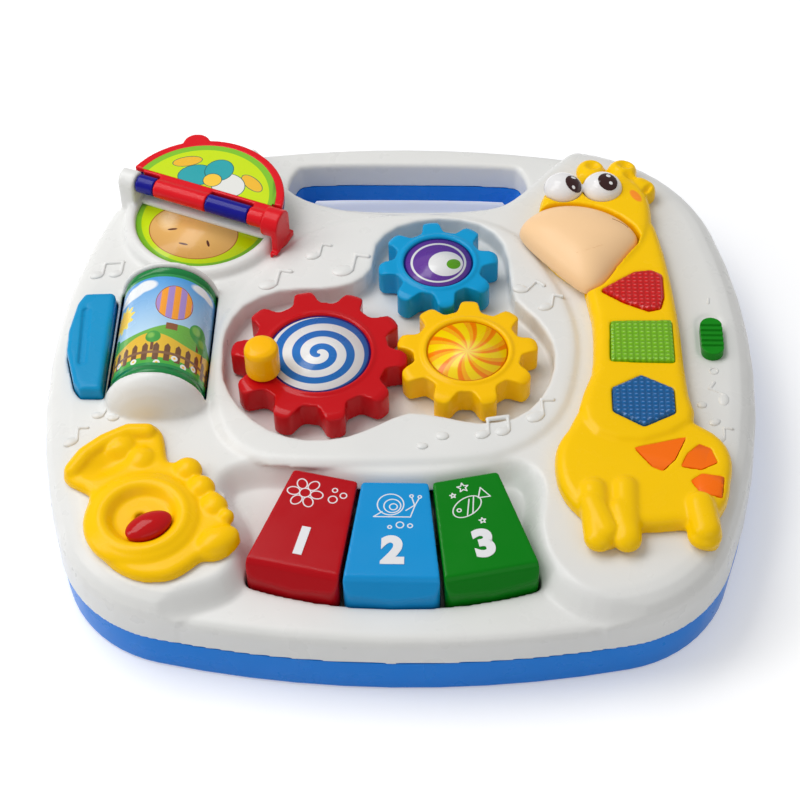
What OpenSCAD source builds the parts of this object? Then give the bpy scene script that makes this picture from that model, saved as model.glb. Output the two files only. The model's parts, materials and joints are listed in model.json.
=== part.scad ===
// Musical activity table top: a white upper casing with keys, gears, a picture book, a roller,
// a horn and a giraffe on it, closed below by a blue lower casing with leg sockets.
// Origin: centre of the underside. X to the right, Y to the back, Z up. Millimetres.

/* [Casing] */
// Overall width
plan_w = 416; // [410:1:500]
// Overall depth
plan_d = 392; // [385:1:471]
// Radius of the gently curved left and right sides
side_r = 390; // [380:5:600]
// Radius of the gently curved front and rear
front_r = 600; // [570:5:900]
// Radius of the two front corners
corner_r = 76; // [66:1:85]
// Radius of the two rear corners
rear_corner_r = 105; // [90:1:115]
// Height of the lower casing, up to the seam
base_h = 26; // [24:0.5:32]
// Height of the deck that carries the toys
deck_z = 58; // [56:0.5:68]
// Height of the front bay and of the handle bar
low_z = 45; // [42:0.5:47]
// Height of the island round the gears, above the deck
island_rise = 2.5; // [1:0.1:4]
// Thickness of the casings
wall = 2.5; // [2:0.1:3]
// Radius of the deck's outer shoulder
shoulder_r = 16; // [12:0.5:18]

/* [Handle] */
// Width of the hand slot
slot_w = 152; // [130:1:160]
// Depth of the hand slot, front to back
slot_d = 43; // [38:1:48]
// Width of the bar behind the slot
bar_w = 19; // [16:0.5:24]

/* [Gears] */
// Teeth of the red, yellow and light blue gears
teeth = [10, 9, 8];
// Tip radius of each gear
tip_r = [51.6, 41.4, 36.4];
// Root radius of each gear
root_r = [40.6, 31.3, 26.4];
// Radius of the picture disc in each gear
disc_r = [30, 23.4, 20.7];
// Thickness of the gears
gear_h = 17.5; // [14:0.5:20]
// Radius of the posts that the gears turn on
post_r = 5; // [4:0.5:6]
// Depth of the gear basin below the island
basin_depth = 13.5; // [12:0.5:14]

/* [Crank knob] */
// Radius of the knob
knob_r = 10; // [8:0.5:12]
// Length of the knob
knob_h = 22; // [16:0.5:26]

/* [Keys] */
// Rear and front radius of the fan of keys, at the top
key_rear_r = 170; // [168:0.5:174]
key_front_r = 236.5; // [225:0.5:238]
// Angle from one key to the next
key_pitch = 13; // [12:0.1:13]
// Gap between two keys
key_gap = 2.2; // [1.6:0.1:4]
// Height of the keys' tops
key_z = 62; // [60:0.5:66]

/* [Picture book] */
// Radius of the pages
page_r = 51; // [46:0.5:52]
// Height of the hinge rod
hinge_z = 76.5; // [74:0.5:80]
// Turn of the hinge from the X axis
hinge_turn = -21.6; // [-30:0.5:0]

/* [Roller] */
// Radius of the roller
drum_r = 27.5; // [24:0.5:28]
// Length of the roller
drum_len = 83; // [78:0.5:88]

/* [Lamps and lenses] */
// Travel of a lens when it is pressed
lens_travel = 1.5; // [1:0.1:2]

/* [Fits] */
// Running clearance of a shaft in its hole, on the radius
fit = 0.05; // [0.02:0.01:0.09]
// Gap between pieces that slide past each other
gap = 0.3; // [0.3:0.05:0.5]

/* [Hidden] */
$fn = 72;

left = -plan_w / 2;
right = plan_w / 2;
front = -plan_d / 2;
rear = plan_d / 2;
island_z = deck_z + island_rise;
floor_z = island_z - basin_depth;
under = deck_z - wall;          // underside of the deck
eps = 0.01;
far = 60;                       // reach of a cut past the part

// where each toy stands
drum_at = [left + 68.5, 3.5];
paddle_at = [left + 24.5, 1.5];
book_at = [left + 83, 108];
horn_at = [left + 71, -130];
giraffe_at = [right - 80, 0];
switch_at = [right - 26.5, 15.5];
gear_at = [[-47, -7.5], [39, -4.5], [21, 67.5]];
fan_at = [0, 71.5];

// ---- curves ----
function unit(a) = [cos(a), sin(a)];
function turned(p, a) = [p.x * cos(a) - p.y * sin(a), p.x * sin(a) + p.y * cos(a)];
function between(a, b, c, d, t) =
    0.5 * (2 * b + (c - a) * t + (2 * a - 5 * b + 4 * c - d) * t * t + (3 * b - a - 3 * c + d) * t * t * t);
// a smooth closed curve through the points p
function smooth(p, steps = 3) = let (n = len(p)) [for (i = [0:n - 1], k = [0:steps - 1])
    between(p[(i + n - 1) % n], p[i], p[(i + 1) % n], p[(i + 2) % n], k / steps)];
// the closed curve p moved inwards by d; p runs anticlockwise
function inset(p, d) = let (n = len(p)) [for (i = [0:n - 1]) let (u = p[(i + 1) % n] - p[(i + n - 1) % n])
    p[i] + d * [-u.y, u.x] / norm(u)];
function moved(p, v) = [for (q = p) q + v];
function shrunk(p, eye, s) = [for (q = p) eye + s * (q - eye)];
function ring(p, z) = [for (q = p) [q.x, q.y, z]];
function ellipse(c, rx, ry, a = 0, n = 28) = [for (k = [0:n - 1])
    c + turned([rx * cos(k * 360 / n), ry * sin(k * 360 / n)], a)];

// a closed body through rings of equal point count; each ring is wholly in sight of its middle point, eye
module loft(rings, eye) {
    n = len(rings[0]);
    m = len(rings);
    last = n * m;
    polyhedron(points = concat([for (r = rings) each r],
            [[eye.x, eye.y, rings[0][0].z], [eye.x, eye.y, rings[m - 1][0].z]]),
        faces = concat(
            [for (k = [0:n - 1]) [last, k, (k + 1) % n]],
            [for (j = [0:m - 2], k = [0:n - 1])
                [j * n + k, (j + 1) * n + k, (j + 1) * n + (k + 1) % n, j * n + (k + 1) % n]],
            [for (k = [0:n - 1]) [last + 1, (m - 1) * n + (k + 1) % n, (m - 1) * n + k]]));
}
// a pad with upright sides and a rounded top edge of radius r
module pillow(p, z0, z1, r, eye, bands = 4)
    loft([ring(p, z0), for (k = [0:bands]) let (a = k * 90 / bands)
        ring(inset(p, r * (1 - cos(a))), z1 - r + r * sin(a))], eye);
// a pad with a domed top; it narrows evenly towards eye
module dome(p, z0, z1, z2, eye, bands = 5, flat = 0.12)
    loft([ring(p, z0), for (k = [0:bands]) let (a = k * (90 - 6) / bands)
        ring(shrunk(p, eye, flat + (1 - flat) * cos(a)), z1 + (z2 - z1) * sin(a))], eye);
module prism(p, z0, z1) translate([0, 0, z0]) linear_extrude(z1 - z0) polygon(p);
module rod(c, r, z0, z1) translate([c.x, c.y, z0]) cylinder(h = z1 - z0, r = r);
module box(lo, hi) translate(lo) cube(hi - lo);
// a bar with two round ends, upright
module bar(a, b, r, z0, z1) {
    d = b - a;
    rod(a, r, z0, z1);
    rod(b, r, z0, z1);
    translate([a.x, a.y, z0]) rotate(atan2(d.y, d.x)) translate([0, -r, 0]) cube([norm(d), 2 * r, z1 - z0]);
}
// a lying sausage of radius r between two points at height z
module sausage(a, b, r, z) {
    d = b - a;
    for (p = [a, b]) translate([p.x, p.y, z]) sphere(r);
    translate([a.x, a.y, z]) rotate([0, 90, atan2(d.y, d.x)]) cylinder(h = norm(d), r = r);
}

// ---- outline of the casing ----
side_c = plan_w / 2 - side_r;
front_c = plan_d / 2 - front_r;
// centre of a corner arc of radius r, which touches the side arc and the front arc from inside
function corner(r) = let (d = norm([side_c, front_c]), ra = side_r - r, rb = front_r - r,
    a = (ra * ra - rb * rb + d * d) / (2 * d), h = sqrt(ra * ra - a * a),
    u = [-side_c, front_c] / d, p = [side_c, 0] + a * u) [p.x - h * u.y, p.y + h * u.x];
// a quarter of the outline, from the middle of a side to just before the middle of the front or rear
function quarter(r, inset) = let (c = corner(r), side_a = atan2(c.y, c.x - side_c),
    front_a = atan2(c.y - front_c, c.x)) concat(
    [for (k = [0:3]) [side_c, 0] + (side_r - inset) * unit(side_a * k / 4)],
    [for (k = [0:9]) c + (r - inset) * unit(side_a + (front_a - side_a) * k / 10)],
    [for (k = [0:4]) [0, front_c] + (front_r - inset) * unit(front_a + (90 - front_a) * k / 5)]);
function outline(inset = 0) = let (q = quarter(rear_corner_r, inset), f = quarter(corner_r, inset),
    n = len(q)) concat(q,
    [for (k = [n:-1:1]) k == n ? [0, rear - inset] : [-q[k].x, q[k].y]],
    [for (p = f) -p],
    [for (k = [n:-1:1]) k == n ? [0, front + inset] : [f[k].x, -f[k].y]]);

// the low front bay that the keys stand in
bay = smooth([[0, front - 46], [right - 8, front - 46], [right - 18, front + 1.5],
    for (p = [[27, -176], [-12, -177], [-33, -168], [-48, -148], [-53, -125], [-51, -103], [-54, -90], [-64, -84]])
        giraffe_at + p,
    for (a = [17, 8.5, 0, -8.5, -17]) fan_at + (key_rear_r - 3) * [sin(a), -cos(a)],
    for (p = [[70, 43.5], [55, 42], [44, 36], [43, 24], [53, 6], [57, -12], [53, -28], [42, -39], [11, -49],
        [-18, -48]])
        horn_at + p,
    [left + 18, front + 1.5], [left + 8, front - 46]]);
bay_eye = [0, front - 22];
// the low strip at the rear that the handle is in
back = smooth([for (p = [[-110, 42], [-96, -17.5], [-80, -45.5], [-62, -62.5], [-30, -72.5], [11, -74], [49, -69.5],
    [66, -60.5], [84, -38.5], [101, -19], [120, -6], [150, 42]]) [p.x, rear + p.y]]);
back_eye = [0, rear + 20];
slot_c = [0, rear - bar_w - slot_d / 2];
slot = smooth([for (p = [[-1, -0.08], [-0.9, -0.6], [-0.5, -0.92], [0, -1], [0.5, -0.92], [0.9, -0.6],
    [1, -0.08], [0.95, 0.68], [0.8, 0.94], [0, 1], [-0.8, 0.94], [-0.95, 0.68]])
    slot_c + [p.x * slot_w / 2, p.y * slot_d / 2]]);
// the raised island round the gears, and the basin in it
island = smooth([[0, -82], [40, -79], [64, -72], [82, -58], [94, -38], [100, -10], [101, 15], [96, 40], [84, 68],
    [68, 96], [43, 110], [11, 114], [-28, 110], [-48, 103], [-66, 90], [-79, 72], [-97, 43], [-106, 18], [-107, -8],
    [-105, -38], [-99, -60], [-88, -74], [-70, -82], [-40, -83]], 2);
basin = smooth([[-101, -24], [-90, -45], [-72, -61], [-51, -68], [-28, -65], [-11, -56], [6, -47], [27, -50],
    [46, -54], [66, -50], [81, -35], [89, -12], [88, 8], [79, 27], [67, 42], [64, 63], [60, 89], [46, 106],
    [21, 111], [-4, 104], [-17, 88], [-19, 68], [-30, 55], [-48, 50], [-73, 48], [-94, 35], [-103, 14],
    [-103, -6]], 2);
basin_eye = [5, 12];

// ---- fasteners ----
case_screw_at = [[left + 26, 72], [left + 26, -72], [right - 26, 72], [right - 26, -72],
    [-95, front + 23], [95, front + 23], [-98, rear - 36], [98, rear - 36]];
leg_at = [for (x = [left + 50, right - 50], y = [-128, 128]) [x, y]];
leg_r = 12;
leg_depth = 22;
screw_r = 1.5;
head_r = 3;
boss_r = 4.5;
board_boss_at = [for (x = [-18, 42], y = [-70, 66]) giraffe_at + [x, y]];
frame_boss_at = [[-98, -107], [91, -112]];

// ---- picture book ----
rod_r = 2;
knuckle_r = 5.8;
book_half = 43.5;
module at_book() translate([book_at.x, book_at.y, hinge_z]) rotate(hinge_turn) children();

// ---- roller ----
axle_r = 2.5;
drum_z = 82 - 27.5;
drum_y0 = drum_at.y - drum_len / 2;
drum_y1 = drum_at.y + drum_len / 2;
end_gap = 0.8;
cheek = 3;                       // thickness of the cheeks that hold the axle
house_r = drum_r + 2;
module along_y(y0, y1, r) translate([drum_at.x, y0, drum_z]) rotate([-90, 0, 0]) cylinder(h = y1 - y0, r = r);

// ---- keys ----
key_half = key_pitch / 2;
key_skirt = 6.5;                 // how far the front face leans out at the foot
key_bottom = 37;
key_axis = [key_rear_r - 7, 41]; // radius and height of a key's hinge
well_half = 1.5 * key_pitch;
key_turn = [-key_pitch, 0, key_pitch];
key_round = 4.5;                 // radius of a key's corners in plan
key_press = 3;                   // turn of a key when it is pressed
frame_z = 30.7;                  // upper face of the frame below the keys
pin_r = 1.5;
module at_key(i) translate([fan_at.x, fan_at.y, 0]) rotate(key_turn[i] - 90) children();
// piece of the fan between two radii and two sides that lie aside of the radius by off
function fan(r0, r1, half, off = 0) = let (u = unit(half), n = [-u.y, u.x])
    [u * r0 - n * off, [r0, 0], [u.x, -u.y] * r0 + [n.x, -n.y] * -off,
     [u.x, -u.y] * r1 + [n.x, -n.y] * -off, [r1, 0], u * r1 - n * off];
// all the keys' fan between two radii, wider by off at its two sides
module keyboard(r0, r1, half, off = 0) translate(fan_at) rotate(-90) polygon(concat(
    [for (k = [-4:4]) r0 * unit(half * k / 4) + [0, off * k / 4]],
    [for (k = [4:-1:-4]) r1 * unit(half * k / 4) + [0, off * k / 4]]));

// ---- giraffe ----
function g(p) = moved(p, giraffe_at);
torso = smooth(g([[-40, -84], [-39, -98], [-35, -110], [-28, -120], [-18, -128], [6, -131], [26, -129], [42, -128],
    [53, -112], [56, -98], [58, -86], [56, -74], [49, -64], [38, -56], [22, -40], [-18, -40], [-32, -62],
    [-38, -73]]), 2);
neck = smooth(g([[10, -76], [38, -60], [37, -38], [35.5, -14], [35, 10], [33, 40], [30.5, 64], [27, 88], [21, 106],
    [4, 104], [-10, 84], [-20, 62], [-19, 42], [-16, 22], [-16, 0], [-18, -22], [-26, -48], [-18, -70]]), 2);
head = smooth(g([[-44, 78], [-30, 58], [-14, 50], [4, 60], [20, 84], [23, 110], [20, 128], [10, 140], [-8, 143],
    [-26, 141], [-40, 130], [-46, 112]]), 3);
muzzle = smooth(g([[-59, 93], [-52, 80], [-41, 66], [-30, 53], [-19, 43], [-9, 47], [-1, 60], [8, 73], [15, 87],
    [4, 103], [-12, 112], [-28, 114.5], [-42, 112], [-53, 104]]), 2);
muzzle_eye = giraffe_at + [-22, 82];
eye_at = [giraffe_at + [-31, 127], giraffe_at + [-7.5, 127.5]];
pupil_at = [giraffe_at + [-25, 125], giraffe_at + [-4, 125]];
spots = [g([[4, -78], [33, -70], [26, -86], [19, -94], [13, -91]]),
    g([[29, -91], [33, -82], [40, -75], [46, -78], [49, -88], [40, -93]]),
    g([[34, -101], [40, -96], [52, -98], [50, -112], [39, -110]])];
lens = [g([[-11, 41], [3, 31], [17, 24.5], [24, 26.5], [26.5, 36], [26.5, 54], [20, 58], [10, 56.5], [0, 49.5]]),
    g([[-6, 16], [-7, -15], [30, -16], [30, 17]]),
    g([[10, -26], [-7, -36], [-7, -53], [10, -64], [28, -54], [28, -36]])];
lens_mid = [giraffe_at + [13, 41], giraffe_at + [12, 0], giraffe_at + [10, -45]];
lens_lip = 1.4;
body_top = 70;
roof = 3.5;                      // thickness of the giraffe's skin over the lenses
board_z = 50;                    // upper face of the main board

// ---- horn ----
horn = smooth(moved([[55, -10], [51, -2], [46, 2], [47, 7], [42, 15], [36, 24], [27, 35], [18, 43], [11, 43],
    [8, 51], [5, 64], [-3, 71], [-18, 67], [-33, 56], [-46, 42], [-47, 31], [-39, 24], [-31, 19], [-32, 9],
    [-29, -4], [-23, -17], [-13, -29], [-1, -36], [11, -38], [21, -36], [30, -29], [35, -24], [41, -24],
    [49, -20]], horn_at), 2);
horn_eye = horn_at + [2, 15];
bowl_c = horn_at + [0.5, 1.5];
slide_a = 122;                   // direction of the horn's slider
slide_travel = 10;
knob_c = bowl_c - 8.6 * unit(slide_a);   // the slider's knob at rest
knob_half = [13, 8];             // the knob's half axes, across and along the slide
stem_r = 3.2;
bowl_r = 18.2;                   // floor of the horn's bowl
horn_top = 66;

// ---- power switch ----
switch_w = 18;
switch_l = 38;
switch_travel = 8;
switch_knob_l = 29;

// =====================================================================
// the outside of the upper casing up to height z1, widest at the seam
module shell_body(z1, r, side)
    loft([ring(outline(side), base_h), ring(outline(side + 0.7), (base_h + z1 - r) / 2),
        for (k = [0:4]) ring(outline(side + 1 + r * (1 - cos(k * 22.5))), z1 - r + r * sin(k * 22.5))], [0, 0]);
// a cut with a soft slope of width 2 * half between the low surface and the deck
module sloped_cut(p, half, eye)
    loft([ring(inset(p, half + 0.5), base_h - 1), for (k = [0:6]) let (t = k / 6)
        ring(inset(p, half * (1 - 2 * t)), low_z - 0.7 + (deck_z - low_z + 0.7) * t * t * (3 - 2 * t)),
        ring(inset(p, -half), deck_z + far)], eye);
// a cut with a rounded upper edge of radius r, down through everything
module flared_cut(p, z, r, eye, z0)
    loft([ring(p, z0), for (k = [0:4]) ring(inset(p, -r * (1 - cos(k * 22.5))), z - r + r * sin(k * 22.5)),
        ring(inset(p, -r), z + far)], eye);
// the hollow below the deck, at distance d from the outline
module deck_inside(d) difference() {
    polygon(outline(d));
    polygon(inset(bay, -bay_slope - 2));
    polygon(inset(back, -5));
}
bay_slope = 7;                   // half the width of the slope round the bay
module paddle_outline(grow) offset(r = grow) translate(paddle_at) polygon(
    [[13.5, -38.5], [12.5, 37], [10.5, 39], [-6, 38], [-9.5, 30], [-12, 8], [-11, -8], [-4, -32], [0.5, -38.5]]);
// the opening that the keys stand in, and the room of their hinges behind it
module well(grow) offset(r = key_round + 1 + grow) offset(delta = -key_round - 1)
    keyboard(key_rear_r - 1.3, key_front_r + key_skirt + 1.3, well_half, 0.2);
module hinge_room() keyboard(key_rear_r - 11, key_rear_r + 6, well_half - 1.3);
hinge_room_z = 48.5;

module top_shell() color([0.96, 0.95, 0.92]) {
    casing();
    posts();
}
module casing() difference() {
    union() {
        difference() {
            union() {
                shell_body(low_z, 6, 0.3);
                difference() {
                    shell_body(deck_z, shoulder_r, 0);
                    sloped_cut(bay, bay_slope, bay_eye);
                    flared_cut(back, deck_z, 8, back_eye, base_h - 1);
                }
                loft([ring(inset(island, -4), deck_z - 1), ring(inset(island, -3), deck_z + 0.4),
                    ring(inset(island, -1), island_z - 0.8), ring(inset(island, 1), island_z - 0.2),
                    ring(inset(island, 3), island_z)], [0, 0]);
            }
            // the hollow below
            prism(outline(wall + 0.6), base_h - 1, low_z - 9);
            prism(outline(wall + 3), low_z - 9 - eps, low_z - wall);
            translate([0, 0, low_z - wall - eps]) linear_extrude(6) deck_inside(shoulder_r / 2 + wall);
            translate([0, 0, low_z - wall + 5]) linear_extrude(under - low_z + wall - 5)
                deck_inside(shoulder_r + wall);
        }
        // walls of the basin, the hand slot and the key well
        prism(inset(basin, -wall), floor_z - wall, under + 1);
        prism(inset(slot, -wall), base_h, low_z - 1);
        translate([0, 0, 34]) linear_extrude(low_z - 1 - 34) difference() {
            well(wall);
            well(0);
        }
        for (p = case_screw_at) rod(p, boss_r, base_h, (abs(p.y) > 100 && abs(p.x) < 97 ? low_z : deck_z) - 1);
        for (p = board_boss_at) rod(p, boss_r - 1, board_z, under + 1);
        for (p = frame_boss_at) rod(p, boss_r, frame_z, under + 1);
        book_ring();
        roller_house();
    }
    flared_cut(slot, low_z, 3, slot_c, base_h - 1);
    flared_cut(basin, island_z, 2, basin_eye, floor_z);
    translate([0, 0, base_h]) linear_extrude(far) well(0);
    translate([0, 0, base_h - 1]) linear_extrude(hinge_room_z - base_h + 1) hinge_room();
    roller_window();
    translate([0, 0, low_z - wall - 1]) linear_extrude(far) paddle_outline(0.6);
    for (i = [0:2]) translate([0, 0, under - 1]) linear_extrude(wall + 2) lens_shape(i, lens_lip + gap);
    // horn slider and power switch
    bar(knob_c, knob_c + slide_travel * unit(slide_a), stem_r + gap, under - 1, deck_z + 1);
    bar(switch_at - [0, (switch_l - switch_w) / 2], switch_at + [0, (switch_l - switch_w) / 2], switch_w / 2,
        deck_z - 1, deck_z + far);
    bar(switch_at - [0, 5], switch_at + [0, 5], 3, under - 1, deck_z);
    for (p = case_screw_at) rod(p, screw_r + fit, base_h - 1, base_h + 14);
    for (p = board_boss_at) rod(p, 1.1, board_z - 1, board_z + 4);
    for (p = frame_boss_at) rod(p, 1.1, frame_z, frame_z + 12);
}
// gear posts stand in the basin, added after the basin is cut
module posts() for (i = [0:2]) difference() {
    union() {
        rod(gear_at[i], post_r, floor_z - 1, gear_z + gear_h - 5.7);
        rod(gear_at[i], post_r + 4, floor_z - 1, gear_z - gap);
    }
    rod(gear_at[i], screw_r + fit, floor_z + 4, island_z + far);
}
gear_z = floor_z + 1.5;
gear_top = gear_z + gear_h;
recess_z = gear_top - 2.5;       // floor of the recess that a disc sits in
washer_z = recess_z - 3.2;       // top of a post

module book_ring() {
    translate([book_at.x, book_at.y, deck_z - 1]) rotate_extrude() polygon([[42.2, 0], [42.2, 5.6], [43.4, 6.8],
        [45.5, 7.2], [47.8, 6.5], [49.4, 4.8], [50.2, 2.6], [50.4, 0]]);
    // the post that holds the left end of the rod
    difference() {
        at_book() {
            translate([-book_half - 0.6, 0, 0]) rotate([0, -90, 0]) cylinder(h = 11, r = 7);
            box([-book_half - 11.6, -7, deck_z - hinge_z - 7], [-book_half - 0.6, 7, 0]);
        }
        at_book() translate([-book_half + 1, 0, 0]) rotate([0, -90, 0]) cylinder(h = 9, r = rod_r + fit);
    }
}
module roller_house() {
    for (y = [drum_y0 - end_gap - cheek, drum_y1 + end_gap]) intersection() {
        along_y(y, y + cheek, house_r);
        union() {
            box([drum_at.x - house_r, y, deck_z - 1], [drum_at.x + house_r, y + cheek, drum_z + house_r + 1]);
            box([drum_at.x - 11, y, drum_z - 9], [drum_at.x + 11, y + cheek, deck_z]);
        }
    }
    // the domed fairing in front of the roller
    difference() {
        fairing(house_r, 14);
        fairing(house_r - wall, 14 - wall);
        box([drum_at.x - far, drum_y0 - far, 0], [drum_at.x + far, drum_y0, deck_z - 1]);
        box([drum_at.x - far, drum_y0 - end_gap - cheek / 2, 0], [drum_at.x + far, drum_y0 + far, 2 * far]);
    }
}
module fairing(r, h) translate([drum_at.x, drum_y0 - end_gap - cheek / 2 + eps, drum_z]) rotate([90, 0, 0])
    rotate_extrude() polygon([[0, -1], for (k = [0:6]) [r * cos(k * 15), h * sin(k * 15) - (k == 0 ? 1 : 0)]]);
module roller_window() {
    box([drum_at.x - drum_r - 1.2, drum_y0 - end_gap, under - 1], [drum_at.x + drum_r + 1.2, drum_y1 + end_gap, 2 * far]);
    along_y(drum_y0 - end_gap - cheek - 1, drum_y1 + end_gap + cheek + 1, axle_r + fit);
}

// one period of teeth, as fractions of the pitch angle and of the height from root to tip
tooth = [[-0.5, 0], [-0.36, 0.02], [-0.28, 0.2], [-0.22, 0.55], [-0.17, 0.86], [-0.09, 0.98], [0, 1],
    [0.09, 0.98], [0.17, 0.86], [0.22, 0.55], [0.28, 0.2], [0.36, 0.02]];
gear_phase = [-4, 8.67, 8.83];   // in mesh at rest
disc_gap = 0.2;
crank_at = gear_at[0] + 34.5 * unit(205.4);
function gear_line(i) = smooth([for (k = [0:teeth[i] - 1], t = tooth)
    (root_r[i] + (tip_r[i] - root_r[i]) * t.y) * unit(gear_phase[i] + (k + t.x) * 360 / teeth[i])], 2);
module gear(i) translate([gear_at[i].x, gear_at[i].y, gear_z]) difference() {
    intersection() {
        linear_extrude(gear_h) polygon(gear_line(i));
        rotate_extrude() polygon([[0, -1], [tip_r[i] + 1, -1], [tip_r[i] + 1, gear_h - 4.2], [tip_r[i] - 0.4, gear_h - 1.6],
            [tip_r[i] - 2.4, gear_h - 0.4], [tip_r[i] - 5, gear_h + 0.1], [tip_r[i] - 5, gear_h + 1], [0, gear_h + 1]]);
    }
    translate([0, 0, -1]) cylinder(h = gear_h, r = post_r + fit);
    translate([0, 0, recess_z - gear_z]) cylinder(h = gear_h, r = disc_r[i] + disc_gap);
    translate([0, 0, washer_z - gap - gear_z]) cylinder(h = gear_h, r = 8.2);
    // lightened from below
    translate([0, 0, -1]) rotate_extrude() polygon([[post_r + 6, 0], [root_r[i] - 12, 0], [root_r[i] - 12, 10],
        [post_r + 6, 10]]);
}
module red_gear() color([0.72, 0.04, 0.06]) difference() {
    gear(0);
    rod(crank_at, 3 + fit, gear_z - 1, gear_top + 1);
    rod(crank_at, 4.6, gear_z - 1, gear_z + 4);
}
module yellow_gear() color([0.98, 0.76, 0.02]) gear(1);
module blue_gear() color([0.25, 0.68, 0.9]) gear(2);
module disc(i) rod(gear_at[i], disc_r[i], recess_z, gear_top - 0.6);
module red_disc() color([0.2, 0.35, 0.8]) disc(0);
module yellow_disc() color([0.95, 0.5, 0.05]) disc(1);
module blue_disc() color([0.45, 0.2, 0.6]) disc(2);
module gear_screws() color([0.75, 0.75, 0.77]) for (c = gear_at) {
    rod(c, 7.6, washer_z, washer_z + 1.2);
    rod(c, head_r, washer_z + 1.2, recess_z - 0.2);
    rod(c, screw_r, floor_z + 4.5, washer_z + 1.2);
}
module crank_knob() color([0.98, 0.78, 0.05]) translate([crank_at.x, crank_at.y, gear_z]) rotate_extrude()
    polygon([[0, 1.6], [2.4, 1.6], [3.9, 2.4], [3.9, 3.7], [3, 3.7], [3, gear_h + gap], [knob_r - 1.4, gear_h + gap],
        [knob_r, gear_h + gap + 1.4], [knob_r, gear_h + knob_h - 3.6], [knob_r - 1.1, gear_h + knob_h - 1.1],
        [knob_r - 3.6, gear_h + knob_h], [0, gear_h + knob_h + 0.4]]);

// ---- lower casing ----
bay_at = [0, 62];
bay_half = [33, 25];
bay_top = 19.5;
door_t = 2.3;
battery_r = 7.1;
speaker_at = [0, -64];
speaker_r = 27;
door_screw_at = bay_at - [0, 35];
module cuboid(c, half, z0, z1) translate([c.x - half.x, c.y - half.y, z0]) cube([2 * half.x, 2 * half.y, z1 - z0]);
module base_shell() color([0.02, 0.45, 0.85]) difference() {
    union() {
        difference() {
            loft([for (k = [0:3]) ring(outline(1.4 + 3 * (1 - sin(k * 30))), 3 * (1 - cos(k * 30))),
                ring(outline(0.6), base_h)], [0, 0]);
            prism(outline(wall + 1.6), wall, base_h + 1);
        }
        // lip that centres the upper casing
        translate([0, 0, base_h - 3]) linear_extrude(5) difference() {
            polygon(outline(wall + 0.8));
            polygon(outline(wall + 2.2));
        }
        prism(inset(slot, -wall), 0.5, base_h);
        // roof over the notch below the handle bar
        intersection() {
            handle_notch(wall);
            prism(outline(2), 1, base_h);
        }
        for (p = leg_at) rod(p, leg_r + wall, 1, leg_depth + wall);
        for (p = case_screw_at) rod(p, boss_r + 1, 1, base_h);
        cuboid(bay_at, bay_half + [5.5, 5.5], 1, door_t + 2.2);
        cuboid(bay_at, bay_half + [2, 2], 2, bay_top + 2);
        rod(door_screw_at, 5, 1, 14);
        // tower below the paddle's button, and a rim round the speaker
        rod(paddle_at, 6, 1, paddle_seat);
        translate([speaker_at.x, speaker_at.y, 1]) difference() {
            cylinder(h = 5, r = speaker_r + gap + 2);
            translate([0, 0, -1]) cylinder(h = 7, r = speaker_r + gap);
        }
    }
    loft([ring(inset(slot, -4), -1), for (k = [0:3]) ring(inset(slot, -3 * (1 - sin(k * 30))), 3 * (1 - cos(k * 30))),
        ring(slot, base_h + 1)], slot_c);
    handle_notch(0);
    for (p = leg_at) rod(p, leg_r, -1, leg_depth);
    for (p = case_screw_at) {
        rod(p, head_r + 0.6, -1, head_z);
        rod(p, screw_r + 0.25, 0, base_h + 1);
    }
    cuboid(bay_at, bay_half, -1, bay_top);
    cuboid(bay_at, bay_half + [3.3, 3.3], -1, door_t + 0.2);
    cuboid(door_screw_at + [0, 2], [6.3, 7], -1, door_t + 0.2);
    rod(door_screw_at, screw_r + fit, -1, 12);
    // slots for the sound, in rings round the speaker's middle
    for (row = [0:3], k = [0:max(0, 6 * row - 1)])
        rod(speaker_at + 6 * row * unit(60 * k / max(1, row)), 1.9, -1, wall + 1);
}
notch_z = 13.5;                  // height of the notch below the handle bar
module handle_notch(grow) translate([0, rear + far, 0]) rotate([90, 0, 0])
    linear_extrude(far + bar_w + 12 + grow) polygon([[-71 - grow, -1], [71 + grow, -1],
        [61 + grow * 0.7, notch_z + grow], [-61 - grow * 0.7, notch_z + grow]]);
head_z = 8;                      // seat of the casing screws' heads
paddle_seat = 45;
module case_screws() color([0.7, 0.7, 0.72]) for (p = case_screw_at) {
    rod(p, head_r, head_z - 2.4, head_z);
    rod(p, screw_r, head_z - eps, base_h + 12);
}
module battery_door() color([0.02, 0.42, 0.8]) difference() {
    union() {
        cuboid(bay_at, bay_half + [3, 3], 0, door_t);
        cuboid(door_screw_at + [0, 2], [6, 6.7], 0, door_t);
    }
    rod(door_screw_at, screw_r + 0.25, -1, door_t + 1);
    rod(door_screw_at, head_r + 0.3, -1, 1.1);
    // finger ribs
    for (x = [-24:4:24]) cuboid(bay_at + [x, 20], [0.8, 5], -1, 0.6);
}
module door_screw() color([0.7, 0.7, 0.72]) {
    rod(door_screw_at, head_r, 0.1, 1.1);
    rod(door_screw_at, screw_r, 1, 11);
}
cell_y = [-15.6, 0, 15.6];
cell_turn = [1, -1, 1];
cell_z = door_t + 0.5 + battery_r;
module lying(x0, x1, y, r) translate([min(x0, x1), bay_at.y + y, cell_z]) rotate([0, 90, 0])
    cylinder(h = abs(x1 - x0), r = r);
module batteries() color([0.15, 0.15, 0.17]) for (i = [0:2]) {
    lying(-24.5, 24.5, cell_y[i], battery_r);
    lying(24 * cell_turn[i], 26 * cell_turn[i], cell_y[i], 2.7);
}
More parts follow.
